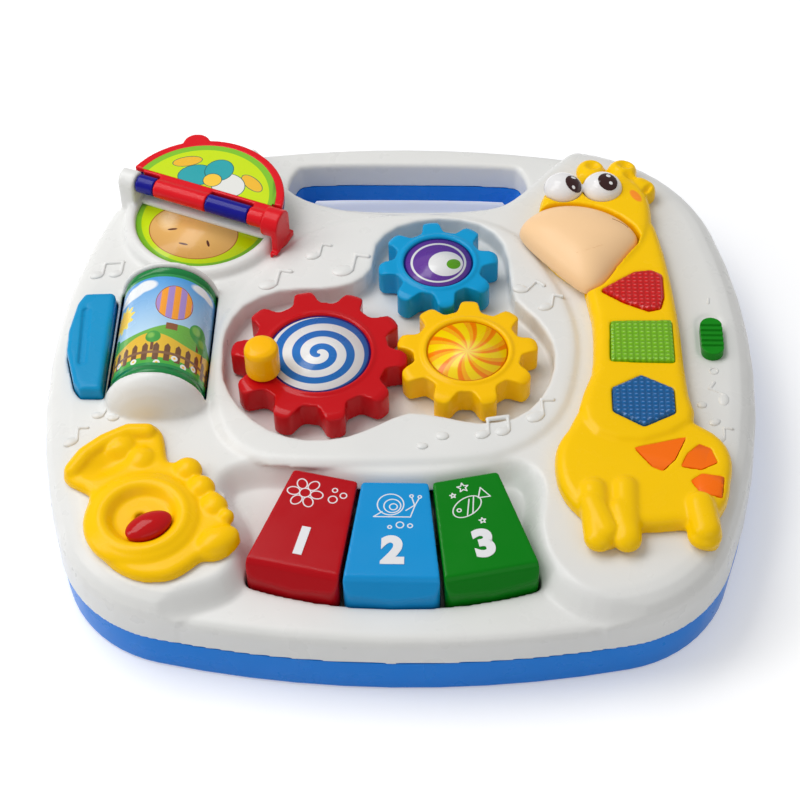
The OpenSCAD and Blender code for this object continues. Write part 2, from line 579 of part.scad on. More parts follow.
module battery_contacts() color([0.8, 0.8, 0.82]) {
    for (x = [-1, 1]) cuboid(bay_at + [x * (bay_half.x - 0.5), 0], [0.3, 23], door_t + 1.5, bay_top - 1);
    for (i = [0:2]) {
        lying(-cell_turn[i] * 24.8, -cell_turn[i] * (bay_half.x - 0.5), cell_y[i], 3.5);
        lying(cell_turn[i] * 26.3, cell_turn[i] * (bay_half.x - 0.5), cell_y[i], 3.2);
    }
}
module speaker() color([0.2, 0.2, 0.22]) translate([speaker_at.x, speaker_at.y, wall + 0.2]) rotate_extrude()
    polygon([[0, 2], [7, 2.5], [speaker_r - 4, 1.4], [speaker_r - 3, 0], [speaker_r, 0], [speaker_r, 3], [18, 9],
        [14, 9.5], [14, 16], [0, 16]]);

// ---- electronics ----
board_t = 1.6;
lens_foot = deck_z;              // lower end of a lens
module main_board() color([0.1, 0.4, 0.2]) difference() {
    translate(concat(giraffe_at - [22.5, 75], [board_z - board_t])) cube([69, 146, board_t]);
    for (p = board_boss_at) rod(p, screw_r + 0.2, board_z - 3, board_z + 1);
}
module board_screws() color([0.7, 0.7, 0.72]) {
    for (p = board_boss_at) {
        rod(p, 2.4, board_z - board_t - 1.8, board_z - board_t);
        rod(p, 1.05, board_z - board_t - 0.1, board_z + 3.8);
    }
    for (p = frame_boss_at) {
        rod(p, 2.4, frame_z - 2.5 - 1.8, frame_z - 2.5);
        rod(p, 1.05, frame_z - 2.6, frame_z + 10);
    }
}
module lamps() color([0.95, 0.95, 0.85]) for (c = lens_mid) translate([c.x, c.y, board_z]) {
    cylinder(h = 1, r = 2.9);
    cylinder(h = 4, r = 2.5);
    translate([0, 0, 4]) sphere(2.5);
}
module lens_shape(i, grow) offset(r = grow) polygon(lens[i]);
module lens_body(i) difference() {
    union() {
        translate([0, 0, lens_foot]) linear_extrude(body_top + 1 - lens_foot) offset(r = 1.5) offset(delta = -1.5 - gap)
            polygon(lens[i]);
        translate([0, 0, body_top + 1 - eps]) linear_extrude(0.9) offset(r = 1) offset(delta = -2 - gap)
            polygon(lens[i]);
        translate([0, 0, lip_z - 2]) linear_extrude(2) lens_shape(i, lens_lip);
    }
    difference() {
        translate([0, 0, lens_foot - 1]) linear_extrude(body_top - lens_foot) lens_shape(i, -2.2);
        for (a = [0, 90]) translate([lens_mid[i].x, lens_mid[i].y, 0]) rotate(a)
            translate([-40, -0.8, lens_foot + 0.5]) cube([80, 1.6, 20]);
    }
}
lip_z = body_top - roof - gap;   // upper face of a lens's lip
module lens_red() color([0.9, 0.1, 0.1]) lens_body(0);
module lens_green() color([0.6, 0.85, 0.1]) lens_body(1);
module lens_blue() color([0.1, 0.3, 0.85]) lens_body(2);
module lens_dome(i) color([0.85, 0.85, 0.85]) translate([lens_mid[i].x, lens_mid[i].y, board_z]) rotate_extrude()
    polygon([[4.5, 0], [9, 0], [9, 1], [6.5, lens_foot + 0.5 - lens_travel - gap - board_z],
        [4.5, lens_foot + 0.5 - lens_travel - gap - board_z]]);
module lens_dome_red() lens_dome(0);
module lens_dome_green() lens_dome(1);
module lens_dome_blue() lens_dome(2);

// ---- keys ----
module key_side(d) rotate([90, 0, 0]) linear_extrude(90, center = true) polygon([
    [key_rear_r + d, key_bottom - (d > 0 ? 1 : 0)],
    [key_front_r + key_skirt - d, key_bottom - (d > 0 ? 1 : 0)], [key_front_r + key_skirt - d, 50 - d],
    [key_front_r + 1.2 - d, key_z - 2 - d], [key_front_r - 1 - d, key_z - d], [key_rear_r + 2 + d, key_z - d],
    [key_rear_r + d, key_z - 2 - d]]);
module key_plan(d) translate([0, 0, key_bottom - 2]) linear_extrude(40) offset(r = key_round) offset(delta = -key_round - d)
    polygon(fan(key_rear_r, key_front_r + key_skirt, key_half, key_gap / 2));
plunger_r = 214;
module key(i) at_key(i) {
    difference() {
        intersection() {
            key_side(0);
            key_plan(0);
        }
        intersection() {
            key_side(2.2);
            key_plan(2.2);
        }
    }
    // arms and pin at the rear, plunger below the top
    for (y = [-7, 7]) translate([key_axis[0], y + 1.2, 0]) rotate([90, 0, 0]) linear_extrude(2.4)
        polygon([[0, key_axis[1] - 1.6], [10, key_bottom], [10, key_axis[1] + 8], [0, key_axis[1] + 1.6]]);
    translate([key_axis[0], 13, key_axis[1]]) rotate([90, 0, 0]) cylinder(h = 26, r = pin_r);
    translate([plunger_r - 3, -3, key_seat]) cube([6, 6, key_z - 1.5 - key_seat]);
}
key_seat = 39.4;                 // lower end of a plunger
module key_1() color([0.75, 0.04, 0.08]) key(0);
module key_2() color([0.35, 0.75, 0.92]) key(1);
module key_3() color([0.02, 0.5, 0.12]) key(2);
module key_frame() color([0.9, 0.9, 0.88]) {
    difference() {
        translate([0, 0, frame_z - 2.5]) linear_extrude(2.5) difference() {
            union() {
                keyboard(key_rear_r - 16, key_front_r + key_skirt + 5, well_half, 5);
                for (p = frame_boss_at) translate(p) circle(7);
                polygon([frame_boss_at[0] + [0, 7], frame_boss_at[0] - [0, 7],
                    frame_boss_at[1] - [0, 7], frame_boss_at[1] + [0, 7]]);
            }
            for (i = [0:2]) at_key(i) translate([200, -14]) square([28, 28]);
        }
        for (p = frame_boss_at) rod(p, screw_r + 0.1, frame_z - 4, frame_z + 1);
    }
    for (i = [0:2]) at_key(i) for (y = [-10.5, 10.5]) difference() {
        translate([key_axis[0] - 4, y - 1.5, frame_z - 1]) cube([8, 3, key_axis[1] + 3.5 - frame_z + 1]);
        translate([key_axis[0], y + 5, key_axis[1]]) rotate([90, 0, 0]) cylinder(h = 10, r = pin_r + fit);
    }
}
module key_board() color([0.1, 0.4, 0.2]) difference() {
    translate([0, 0, frame_z]) linear_extrude(board_t) for (i = [0:2]) at_key(i) translate([192, -22]) square([40, 44]);
    for (i = [0:2]) at_key(i) for (y = [-17, 17]) translate([196, y, frame_z - 1]) cylinder(h = 4, r = 1);
}
module key_dome(i) color([0.8, 0.8, 0.82]) at_key(i) translate([plunger_r, 0, frame_z + board_t]) rotate_extrude()
    polygon([[0, 0], [8, 0], [8, 0.8], [5, 3.4], [0, 3.4]]);
module key_dome_1() key_dome(0);
module key_dome_2() key_dome(1);
module key_dome_3() key_dome(2);

// ---- roller ----
label_t = 0.4;
band = 5;
module about_axle(y) translate([drum_at.x, y, drum_z]) rotate([-90, 0, 0]) rotate_extrude() children();
module roller() color([0.05, 0.08, 0.45]) about_axle(drum_y0) polygon([[axle_r + fit, 0.4], [9, 0.4], [9, 1.6],
    [drum_r - 6, 1.6], [drum_r - 3, 0], [drum_r - 0.6, 0], [drum_r, 0.6], [drum_r, band], [drum_r - label_t, band],
    [drum_r - label_t, drum_len - band], [drum_r, drum_len - band], [drum_r, drum_len], [drum_r - 2.6, drum_len],
    [drum_r - 2.6, 4.2], [axle_r + 4, 4.2], [axle_r + 4, drum_len - 8], [axle_r + fit, drum_len - 8]]);
module roller_cap() color([0.05, 0.08, 0.45]) about_axle(drum_y1) polygon([[axle_r + fit, -0.4], [axle_r + fit, -7.7],
    [axle_r + 4, -7.7], [axle_r + 4, -3], [drum_r - 2.8, -3], [drum_r - 2.8, -0.4]]);
module roller_label() color([0.55, 0.8, 0.2]) about_axle(drum_y0) polygon([[drum_r - label_t + 0.02, band + 0.1],
    [drum_r - 0.02, band + 0.1], [drum_r - 0.02, drum_len - band - 0.1], [drum_r - label_t + 0.02, drum_len - band - 0.1]]);
module roller_axle() color([0.75, 0.75, 0.78])
    along_y(drum_y0 - end_gap - cheek + 0.2, drum_y1 + end_gap + cheek - 0.2, axle_r);

// ---- paddle ----
paddle_z = 66;
paddle_travel = 3;
module paddle() color([0.1, 0.6, 0.8]) {
    difference() {
        union() {
            translate([0, 0, under - 3]) linear_extrude(paddle_z - 2 - under + 3) paddle_outline(0);
            translate([0, 0, paddle_z - 2 - eps]) linear_extrude(1.2) paddle_outline(-0.6);
            translate([0, 0, paddle_z - 0.8 - 2 * eps]) linear_extrude(0.8) paddle_outline(-1.8);
        }
        translate([0, 0, under - 4]) linear_extrude(paddle_z - under + 1) paddle_outline(-2.5);
        // the groove along the top
        translate([0, 0, paddle_z - 0.7]) linear_extrude(2) translate(paddle_at)
            polygon([[-4.2, 28], [-2.8, 28], [-1, -20], [-2.6, -20]]);
    }
    // tabs that hold it below the deck, and a cross web with a foot
    for (s = [[36.5, 43], [-43, -37]]) box([paddle_at.x - 1, paddle_at.y + s[0], under - 3],
        [paddle_at.x + 8, paddle_at.y + s[1], under - gap]);
    box([paddle_at.x - 8, paddle_at.y - 1, under - 3], [paddle_at.x + 10, paddle_at.y + 1, paddle_z - 1.5]);
    rod(paddle_at, 4, under - 3, paddle_z - 1.5);
}
module paddle_dome() color([0.8, 0.8, 0.82]) translate([paddle_at.x, paddle_at.y, paddle_seat]) rotate_extrude()
    polygon([[0, 0], [6, 0], [6, 1], [4, under - 3 - paddle_travel - gap - paddle_seat],
        [0, under - 3 - paddle_travel - gap - paddle_seat]]);

// ---- picture book ----
picture_r = page_r - 8.3;
page_t = 3.7;
blue_t = 3;
red_z = 2 * gap; // underside of the red page above the hinge's axis
cuts = [-1, -0.72, 0.1, 0.76, 1];
module knuckles(which) for (k = which) translate([book_half * cuts[k] + gap / 2, 0, 0]) rotate([0, 90, 0])
    cylinder(h = book_half * (cuts[k + 1] - cuts[k]) - gap, r = knuckle_r);
module page(which, z0, z1) difference() {
    union() {
        translate([0, 0, z0]) linear_extrude(z1 - z0) {
            intersection() {
                circle(page_r);
                translate([-page_r, knuckle_r + 0.8]) square([2 * page_r, page_r]);
            }
            for (k = which) translate([book_half * cuts[k] + gap / 2, 0])
                square([book_half * (cuts[k + 1] - cuts[k]) - gap, knuckle_r + 2]);
        }
        knuckles(which);
    }
    translate([-page_r, 0, 0]) rotate([0, 90, 0]) cylinder(h = 2 * page_r, r = rod_r + fit);
    for (k = [0:3]) if (len([for (w = which) if (w == k) w]) == 0)
        translate([book_half * cuts[k] - gap / 2, 0, 0]) rotate([0, 90, 0])
            cylinder(h = book_half * (cuts[k + 1] - cuts[k]) + gap, r = knuckle_r + 0.5);
    beside_hinge();
    for (z = [z0 - 1, z1 - 0.6]) translate([0, 0, z]) linear_extrude(1.6) picture(0.15);
}
// room for the post at the left and for the bracket at the right
module beside_hinge() {
    translate([-book_half - 20, -10, -10]) cube([20, 18.5, 20]);
    translate([book_half, -10, -10]) cube([20, 20.5, 20]);
}
module picture(grow) intersection() {
    circle(page_r - 5 + grow);
    translate([-page_r, knuckle_r + 3 - grow]) square([2 * page_r, page_r]);
}
module red_page() color([0.93, 0.1, 0.12]) at_book() {
    page([1, 3], red_z, red_z + page_t);
    difference() {
        rotate(120) translate([page_r - 2, 0, red_z]) cylinder(h = page_t, r = 8.5);
        translate([0, 0, -1]) cylinder(h = 10, r = page_r - 2);
    }
}
module blue_page() color([0.05, 0.05, 0.55]) at_book() page([0, 2], -gap - blue_t, -gap);
module pictures(z0, z1) at_book() difference() {
    for (z = [z0, z1 - 0.6]) translate([0, 0, z]) linear_extrude(0.6) picture(0);
    beside_hinge();
}
module red_page_pictures() color([0.82, 0.9, 0.05]) pictures(red_z, red_z + page_t);
module blue_page_pictures() color([0.82, 0.9, 0.05]) pictures(-gap - blue_t, -gap);
module hinge_rod() color([0.75, 0.75, 0.78]) at_book() translate([-book_half - 7, 0, 0]) rotate([0, 90, 0])
    cylinder(h = 2 * book_half + 14, r = rod_r);
module page_bracket() color([0.9, 0.08, 0.1]) at_book() difference() {
    union() {
        translate([book_half + 0.6, 0, 0]) rotate([0, 90, 0]) cylinder(h = 11, r = 9);
        translate([51.2, -9, deck_z - hinge_z]) cube([book_half + 11.6 - 51.2, 18, hinge_z - deck_z]);
        translate([51.2, -12, deck_z - hinge_z]) cube([book_half + 12.6 - 51.2, 24, 4]);
    }
    translate([book_half, 0, 0]) rotate([0, 90, 0]) cylinder(h = 8, r = rod_r + fit);
    // the foot is cut back where the island rises
    rotate(-hinge_turn) translate([-book_at.x, -book_at.y, -hinge_z]) prism(inset(island, -4.2), deck_z - 1, island_z + gap);
}
module base_picture() color([0.82, 0.9, 0.05]) rod(book_at, 42, deck_z, deck_z + 3);

// ---- horn ----
module horn_body() color([1, 0.8, 0.02]) difference() {
    union() {
        pillow(horn, deck_z - 4, horn_top - 1.5, 5, horn_eye);
        translate([bowl_c.x, bowl_c.y, deck_z + 5]) rotate_extrude() translate([bowl_r + 4.8, 0]) circle(5.6);
        for (p = [[-46 + 11, 43, 6.2], [-18, 52, 10], [-5, 44, 9]])
            translate([horn_at.x + p.x, horn_at.y + p.y, horn_top - 4]) scale([1, 1, 0.6]) sphere(p[2]);
        for (p = [[18, 38], [28, 27], [38, 16], [46, 4]]) translate([horn_at.x + p.x, horn_at.y + p.y, horn_top - 3.5])
            sphere(4.6);
        sausage(horn_at + [41, -16], horn_at + [50, -8], 4.6, deck_z + 3.4);
    }
    rod(bowl_c, bowl_r, deck_z + 5, horn_top + far);
    bar(knob_c, knob_c + slide_travel * unit(slide_a), stem_r + gap, deck_z - 1, horn_top + 1);
    shell_body(deck_z, shoulder_r, -0.15);
}
module horn_slider() color([0.6, 0.03, 0.05]) {
    translate([knob_c.x, knob_c.y, deck_z + 5 + gap]) rotate(slide_a - 90) {
        linear_extrude(3.4) scale(knob_half) circle(1);
        translate([0, 0, 3.4 - eps]) linear_extrude(1.2) scale(knob_half - [0.7, 0.7]) circle(1);
        translate([0, 0, 4.6 - 2 * eps]) linear_extrude(0.8) scale(knob_half - [2, 2]) circle(1);
    }
    rod(knob_c, stem_r, under - 3.2, deck_z + 5 + gap + eps);
    rod(knob_c, 6.5, under - 3.2, under - gap);
}

// ---- giraffe ----
module torso_solid() pillow(torso, deck_z - 4, 68, 6, giraffe_at + [8, -92]);
// an upright plate with two round ends, as a closed curve
function stadium(a, b, r, n = 10) = let (t = atan2(b.y - a.y, b.x - a.x))
    concat([for (k = [0:n]) b + r * unit(t - 90 + 180 * k / n)], [for (k = [0:n]) a + r * unit(t + 90 + 180 * k / n)]);
module hoof(a, b, r) pillow(g(stadium(a, b, r)), deck_z - 4, deck_z + 5.5 + r, r * 0.8, giraffe_at + (a + b) / 2, 3);
module giraffe_body() color([1, 0.8, 0.04]) difference() {
    union() {
        torso_solid();
        pillow(neck, deck_z - 4, body_top, 6, giraffe_at + [10, 0]);
        pillow(head, deck_z - 4, body_top + 2, 7, giraffe_at + [-10, 98]);
        hoof([-20, -116], [-14, -135], 8);
        hoof([-5, -120], [-2, -136], 7.5);
        hoof([38, -116], [40, -133], 8.5);
        for (p = [[[-12, 138], [-12, 149], 8.2], [[6, 136], [8, 149], 8.2], [[14, 128], [20, 133], 7]])
            hoof(p[0], p[1], p[2]);
    }
    // it stands on the casing
    shell_body(deck_z, shoulder_r, -0.15);
    prism(inset(muzzle, -0.15), muzzle_z - 0.2, far * 2);
    for (p = eye_at) rod(p, eye_r + 0.15, eye_z, far * 2);
    for (s = spots) prism(s, 63, far * 2);
    // hollow below the lenses
    translate([0, 0, deck_z - 1]) linear_extrude(body_top - roof - deck_z + 1) intersection() {
        polygon(inset(neck, 1.7));
        union() for (i = [0:2]) lens_shape(i, lens_lip + 0.7);
    }
    for (i = [0:2]) translate([0, 0, deck_z]) linear_extrude(far) offset(r = 1.5) offset(delta = -1.5) lens_shape(i, 0);
}
eye_r = 11.6;
eye_z = 68;
muzzle_z = island_z + gap;       // the muzzle overhangs the island
module giraffe_muzzle() color([1, 0.84, 0.62])
    dome(muzzle, muzzle_z, 66, 80, muzzle_eye, 5, 0.1);
module giraffe_eyes() color([0.98, 0.98, 0.98]) difference() {
    for (p = eye_at) translate([p.x, p.y, eye_z + 0.1]) rotate_extrude() polygon([[0, 0], [eye_r, 0], [eye_r, 4.4],
        for (k = [1:6]) [eye_r * cos(15 * k), 4.4 + 7.5 * sin(15 * k)]]);
    for (p = pupil_at) rod(p, 4.75, eye_z + 7.5, far * 2);
    prism(inset(muzzle, -0.15), deck_z, far * 2);
}
module giraffe_pupils() color([0.05, 0.05, 0.06]) for (p = pupil_at) translate([p.x, p.y, eye_z + 7.6])
    rotate_extrude() polygon([[0, 0], [4.6, 0], [4.6, 3.2], for (k = [1:5]) [4.6 * cos(18 * k), 3.2 + 1.9 * sin(18 * k)]]);
module giraffe_spots() color([1, 0.42, 0.02]) intersection() {
    torso_solid();
    union() for (s = spots) translate([0, 0, 63.1]) linear_extrude(far) offset(delta = -0.12) polygon(s);
}

// ---- power switch ----
switch_rest = switch_at - [0, (switch_l - switch_knob_l) / 2 - 0.5];
module switch_knob() color([0.25, 0.68, 0.12]) {
    difference() {
        bar(switch_rest - [0, switch_knob_l / 2 - 6.5], switch_rest + [0, switch_knob_l / 2 - 6.5], 6.5,
            deck_z - 1 + gap, deck_z + 5.5);
        for (k = [-2:2]) cuboid(switch_rest + [0, 4 * k], [9, 0.9], deck_z + 4.3, deck_z + 9);
    }
    rod(switch_rest, 2.6, under - 2, deck_z - 1 + gap + eps);
}
module power_switch() color([0.12, 0.12, 0.13]) difference() {
    cuboid(switch_at, [6.5, 14], under - 12, under);
    bar(switch_at - [0, 5], switch_at + [0, 5], 3, under - 2.6, under + 1);
}

top_shell();
base_shell();
case_screws();
battery_door();
door_screw();
batteries();
battery_contacts();
speaker();
main_board();
board_screws();
lamps();
red_gear();
red_disc();
yellow_gear();
yellow_disc();
blue_gear();
blue_disc();
gear_screws();
crank_knob();
key_frame();
key_board();
key_1();
key_2();
key_3();
key_dome_1();
key_dome_2();
key_dome_3();
roller();
roller_cap();
roller_label();
roller_axle();
paddle();
paddle_dome();
base_picture();
hinge_rod();
page_bracket();
red_page();
red_page_pictures();
blue_page();
blue_page_pictures();
horn_body();
horn_slider();
giraffe_body();
giraffe_muzzle();
giraffe_eyes();
giraffe_pupils();
giraffe_spots();
lens_red();
lens_green();
lens_blue();
lens_dome_red();
lens_dome_green();
lens_dome_blue();
switch_knob();
power_switch();
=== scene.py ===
"""Looks of the musical activity table: moulded, printed and translucent plastics on the frame's bodies."""
import bmesh
import bpy
import json
import math
from mathutils import Matrix, Vector
from mathutils.bvhtree import BVHTree

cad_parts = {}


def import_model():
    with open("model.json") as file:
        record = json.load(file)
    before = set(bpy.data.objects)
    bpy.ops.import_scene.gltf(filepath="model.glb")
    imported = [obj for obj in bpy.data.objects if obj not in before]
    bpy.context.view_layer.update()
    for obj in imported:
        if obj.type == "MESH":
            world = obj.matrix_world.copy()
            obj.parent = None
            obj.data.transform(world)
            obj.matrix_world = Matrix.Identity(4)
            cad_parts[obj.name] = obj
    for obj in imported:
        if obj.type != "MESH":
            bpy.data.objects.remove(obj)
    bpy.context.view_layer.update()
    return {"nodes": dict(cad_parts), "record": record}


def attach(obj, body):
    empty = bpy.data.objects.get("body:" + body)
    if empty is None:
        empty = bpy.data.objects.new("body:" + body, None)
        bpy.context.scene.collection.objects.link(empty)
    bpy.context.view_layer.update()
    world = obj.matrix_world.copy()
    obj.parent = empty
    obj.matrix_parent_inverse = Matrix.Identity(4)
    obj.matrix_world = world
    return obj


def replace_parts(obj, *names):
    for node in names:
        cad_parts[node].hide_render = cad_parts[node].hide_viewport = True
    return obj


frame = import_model()
MM = 0.001

# places of the toys on the deck, in millimetres
DRUM = (-139.5, 3.5, 54.5)
DRUM_RADIUS = 27.5
FILM_HALF = 34.2
FLANGE_HALF = 35.6
BOOK = (-125, 108, 76.5)
BOOK_TURN = math.radians(-21.6)
GIRAFFE = (128, 0)
GEARS = {"red": (-47, -7.5), "yellow": (39, -4.5), "blue": (21, 67.5)}
FAN = (0, 71.5)
NUMBER_REACH = 219
DECK = 58
ISLAND = 60.5
MOST_TRIANGLES = 190000


# ---------------------------------------------------------------- materials
class Paint:
    """A material and the nodes that colour it; numbers in millimetres on the piece's own coordinates."""

    def __init__(self, name, color, rough=0.3, coat=0.0, metal=0.0, spec=0.3):
        self.mat = bpy.data.materials.new(name)
        self.mat.use_nodes = True
        self.mat.diffuse_color = (*color, 1)
        self.tree = self.mat.node_tree
        self.shader = self.tree.nodes["Principled BSDF"]
        self.set("Base Color", (*color, 1))
        self.set("Roughness", rough)
        self.set("Metallic", metal)
        self.set("Coat Weight", coat)
        self.set("Coat Roughness", 0.08)
        self.set("Specular IOR Level", spec)
        self.color = color

    def set(self, socket, value):
        self.shader.inputs[socket].default_value = value

    def node(self, kind, inputs=(), **props):
        made = self.tree.nodes.new(kind)
        for key, value in props.items():
            setattr(made, key, value)
        for key, value in dict(inputs).items():
            self.feed(made.inputs[key], value)
        return made

    def feed(self, socket, value):
        if isinstance(value, bpy.types.NodeSocket):
            self.tree.links.new(value, socket)
        else:
            socket.default_value = value

    def math(self, op, a, b=0.0, c=0.0):
        return self.node("ShaderNodeMath", {0: a, 1: b, 2: c}, operation=op).outputs[0]

    def add(self, a, b):
        return self.math("ADD", a, b)

    def sub(self, a, b):
        return self.math("SUBTRACT", a, b)

    def mul(self, a, b):
        return self.math("MULTIPLY", a, b)

    def clip(self, a, low=0.0, high=1.0):
        return self.node("ShaderNodeClamp", {"Value": a, "Min": low, "Max": high}).outputs[0]

    def axes(self, x=0, y=0, z=0, turn=0.0):
        """Three sockets with the place in millimetres from (x, y, z), turned round Z."""
        coords = self.node("ShaderNodeTexCoord").outputs["Object"]
        moved = self.node("ShaderNodeVectorMath", {0: coords, 1: (-x * MM, -y * MM, -z * MM)},
                          operation="ADD").outputs[0]
        grown = self.node("ShaderNodeVectorMath", {0: moved, "Scale": 1 / MM}, operation="SCALE").outputs[0]
        turned = self.node("ShaderNodeVectorRotate", {"Vector": grown, "Angle": -turn},
                           rotation_type="Z_AXIS").outputs[0]
        parts = self.node("ShaderNodeSeparateXYZ", {0: turned}).outputs
        return parts[0], parts[1], parts[2]

    def length(self, x, y):
        return self.math("SQRT", self.add(self.mul(x, x), self.mul(y, y)))

    def strip(self, value, pitch):
        """Distance from the middle of strips that repeat at a pitch, 0 to 0.5 of it."""
        return self.math("ABSOLUTE", self.sub(self.math("FRACT", self.mul(value, 1 / pitch)), 0.5))

    def inside(self, distance, soft=0.12):
        """1 where distance is below 0, 0 above it."""
        return self.clip(self.add(self.mul(distance, -1 / soft), 0.5))

    def disc(self, x, y, cx, cy, rx, ry=None, turn=0.0, soft=0.12):
        """Mask of an ellipse."""
        ry = ry or rx
        u, v = self.sub(x, cx), self.sub(y, cy)
        if turn:
            c, s = math.cos(turn), math.sin(turn)
            u, v = self.add(self.mul(u, c), self.mul(v, s)), self.sub(self.mul(v, c), self.mul(u, s))
        r = self.length(self.mul(u, 1 / rx), self.mul(v, 1 / ry))
        return self.inside(self.mul(self.sub(r, 1), min(rx, ry)), soft)

    def hoop(self, x, y, cx, cy, rx, ry=None, turn=0.0, line=0.7):
        """Mask of an ellipse's outline."""
        ry = ry or rx
        outer = self.disc(x, y, cx, cy, rx + line / 2, ry + line / 2, turn)
        return self.mul(outer, self.sub(1, self.disc(x, y, cx, cy, rx - line / 2, ry - line / 2, turn)))

    def stroke(self, x, y, a, b, line=0.7):
        """Mask of a straight line between two points."""
        d = (b[0] - a[0], b[1] - a[1])
        size = math.hypot(*d)
        u, v = self.sub(x, a[0]), self.sub(y, a[1])
        along = self.add(self.mul(u, d[0] / size), self.mul(v, d[1] / size))
        over = self.sub(along, self.clip(along, 0.0, size))
        aside = self.sub(self.mul(v, d[0] / size), self.mul(u, d[1] / size))
        return self.inside(self.sub(self.length(over, aside), line / 2))

    def block(self, x, y, x0, x1, y0, y1, soft=0.12):
        """Mask of an upright rectangle."""
        u = self.sub(self.math("ABSOLUTE", self.sub(x, (x0 + x1) / 2)), (x1 - x0) / 2)
        v = self.sub(self.math("ABSOLUTE", self.sub(y, (y0 + y1) / 2)), (y1 - y0) / 2)
        return self.inside(self.math("MAXIMUM", u, v), soft)

    def mix(self, mask, below, above):
        made = self.node("ShaderNodeMix", {"Factor": mask}, data_type="RGBA")
        self.feed(made.inputs["A"], below if isinstance(below, bpy.types.NodeSocket) else (*below[:3], 1))
        self.feed(made.inputs["B"], above if isinstance(above, bpy.types.NodeSocket) else (*above[:3], 1))
        return made.outputs["Result"]

    def noise(self, scale, detail=3.0, rough=0.5):
        coords = self.node("ShaderNodeTexCoord").outputs["Object"]
        return self.node("ShaderNodeTexNoise", {"Vector": coords, "Scale": scale, "Detail": detail,
                                                "Roughness": rough}).outputs["Fac"]

    def bump(self, height, depth=0.0001, strength=0.2):
        made = self.node("ShaderNodeBump", {"Height": height, "Strength": strength, "Distance": depth})
        self.tree.links.new(made.outputs[0], self.shader.inputs["Normal"])
        return made

    def finish(self, color=None, grain=900, depth=0.00006, strength=0.12, spread=0.05, uneven=0.03):
        """Fine moulded grain, slightly uneven gloss and a faint drift of colour."""
        base = color if color is not None else (*self.color, 1)
        drift = self.node("ShaderNodeMapRange", {"Value": self.noise(18, 4), "From Min": 0.3, "From Max": 0.7,
                                                 "To Min": 1 - uneven, "To Max": 1 + uneven * 0.4}).outputs[0]
        tone = self.node("ShaderNodeVectorMath", {0: base if color is not None else self.color, "Scale": drift},
                         operation="SCALE").outputs[0]
        self.tree.links.new(tone, self.shader.inputs["Base Color"])
        r = self.shader.inputs["Roughness"].default_value
        gloss = self.node("ShaderNodeMapRange", {"Value": self.noise(60, 3), "From Min": 0.3, "From Max": 0.7,
                                                 "To Min": max(0.02, r - spread), "To Max": r + spread}).outputs[0]
        self.tree.links.new(gloss, self.shader.inputs["Roughness"])
        if strength:
            self.bump(self.noise(grain, 2), depth, strength)
        return self.mat


def moulded(name, color, rough=0.24, coat=0.0, spec=0.16, skin=0.0, **grain):
    """Injection-moulded plastic; skin is a little light carried below the surface."""
    paint = Paint(name, color, rough, coat, spec=spec)
    if skin:
        paint.set("Subsurface Weight", skin)
        paint.set("Subsurface Radius", (0.004, 0.003, 0.002))
        paint.set("Subsurface Scale", 1.0)
    return paint.finish(**grain)


WHITE = moulded("white_shell", (0.79, 0.79, 0.77), 0.3, 0.05, 0.3, strength=0.05)
BLUE = moulded("blue_case", (0.004, 0.215, 0.76), 0.3)
RED = moulded("red_gear_plastic", (0.56, 0.004, 0.008), 0.2, 0.08)
YELLOW = moulded("yellow_gear_plastic", (1.0, 0.56, 0.0), 0.26)
SKY = moulded("light_blue_gear_plastic", (0.004, 0.32, 0.64), 0.22)
SUN = moulded("yellow_toy_plastic", (1.0, 0.58, 0.0), 0.26)
ORANGE_YELLOW = moulded("yellow_knob_plastic", (1.0, 0.50, 0.0), 0.25, 0.05)
PEACH = moulded("peach_muzzle_plastic", (1.0, 0.66, 0.36), 0.36, 0.0, 0.25)
# painted shade: a darker brown peach that stands for the shade in the groove of the smile
SMILE_SHADE = moulded("smile_groove_painted_shade", (0.50, 0.24, 0.08), 0.5)
ORANGE = moulded("orange_spot_paint", (1.0, 0.17, 0.004), 0.3)
EYE = moulded("eye_white", (0.84, 0.83, 0.83), 0.14, 0.3)
NAVY = moulded("navy_plastic", (0.006, 0.006, 0.25), 0.2, 0.1)
PAGE_RED = moulded("red_page_plastic", (0.74, 0.008, 0.016), 0.24, 0.05)
PADDLE = moulded("paddle_blue", (0.006, 0.29, 0.58), 0.28)
SWITCH_GREEN = moulded("switch_green", (0.004, 0.24, 0.006), 0.35)
SLIDER_RED = moulded("slider_red", (0.52, 0.004, 0.006), 0.15, 0.15)
FRAME = moulded("hidden_frame_grey", (0.5, 0.5, 0.49), 0.5)
BLACK = moulded("black_plastic", (0.012, 0.012, 0.013), 0.4)
RUBBER = moulded("dome_rubber", (0.45, 0.45, 0.45), 0.7)
BOARD = moulded("board_green", (0.01, 0.12, 0.04), 0.4)
PRINT = moulded("white_print", (0.80, 0.80, 0.82), 0.35, grain=2500)


def pupil_brown():
    """Dark brown pupils, each with two small white glints."""
    paint = Paint("pupil_brown", (0.035, 0.006, 0.006), 0.08, 0.4)
    x, y, _ = paint.axes()
    tone = paint.mix(paint.disc(x, y, 103.2, 129.0, 1.5, 1.0), (0.035, 0.006, 0.006), (0.86, 0.86, 0.86))
    for px, py, r in ((103.2, 121.8, 1.0), (124.6, 129.4, 1.4), (126.0, 123.8, 1.1)):
        tone = paint.mix(paint.disc(x, y, px, py, r), tone, (0.86, 0.86, 0.86))
    return paint.finish(color=tone, strength=0)


PUPIL = pupil_brown()


def giraffe_skin():
    """Yellow with an orange patch below the ear."""
    paint = Paint("giraffe_yellow", (1.0, 0.60, 0.0), 0.26, spec=0.16)
    x, y, _ = paint.axes()
    patch = paint.disc(x, y, 141.6, 120.6, 2.6, 5.6, 0.5, soft=0.8)
    tone = paint.mix(paint.mul(patch, 0.85), (1.0, 0.60, 0.0), (1.0, 0.24, 0.03))
    return paint.finish(color=tone)


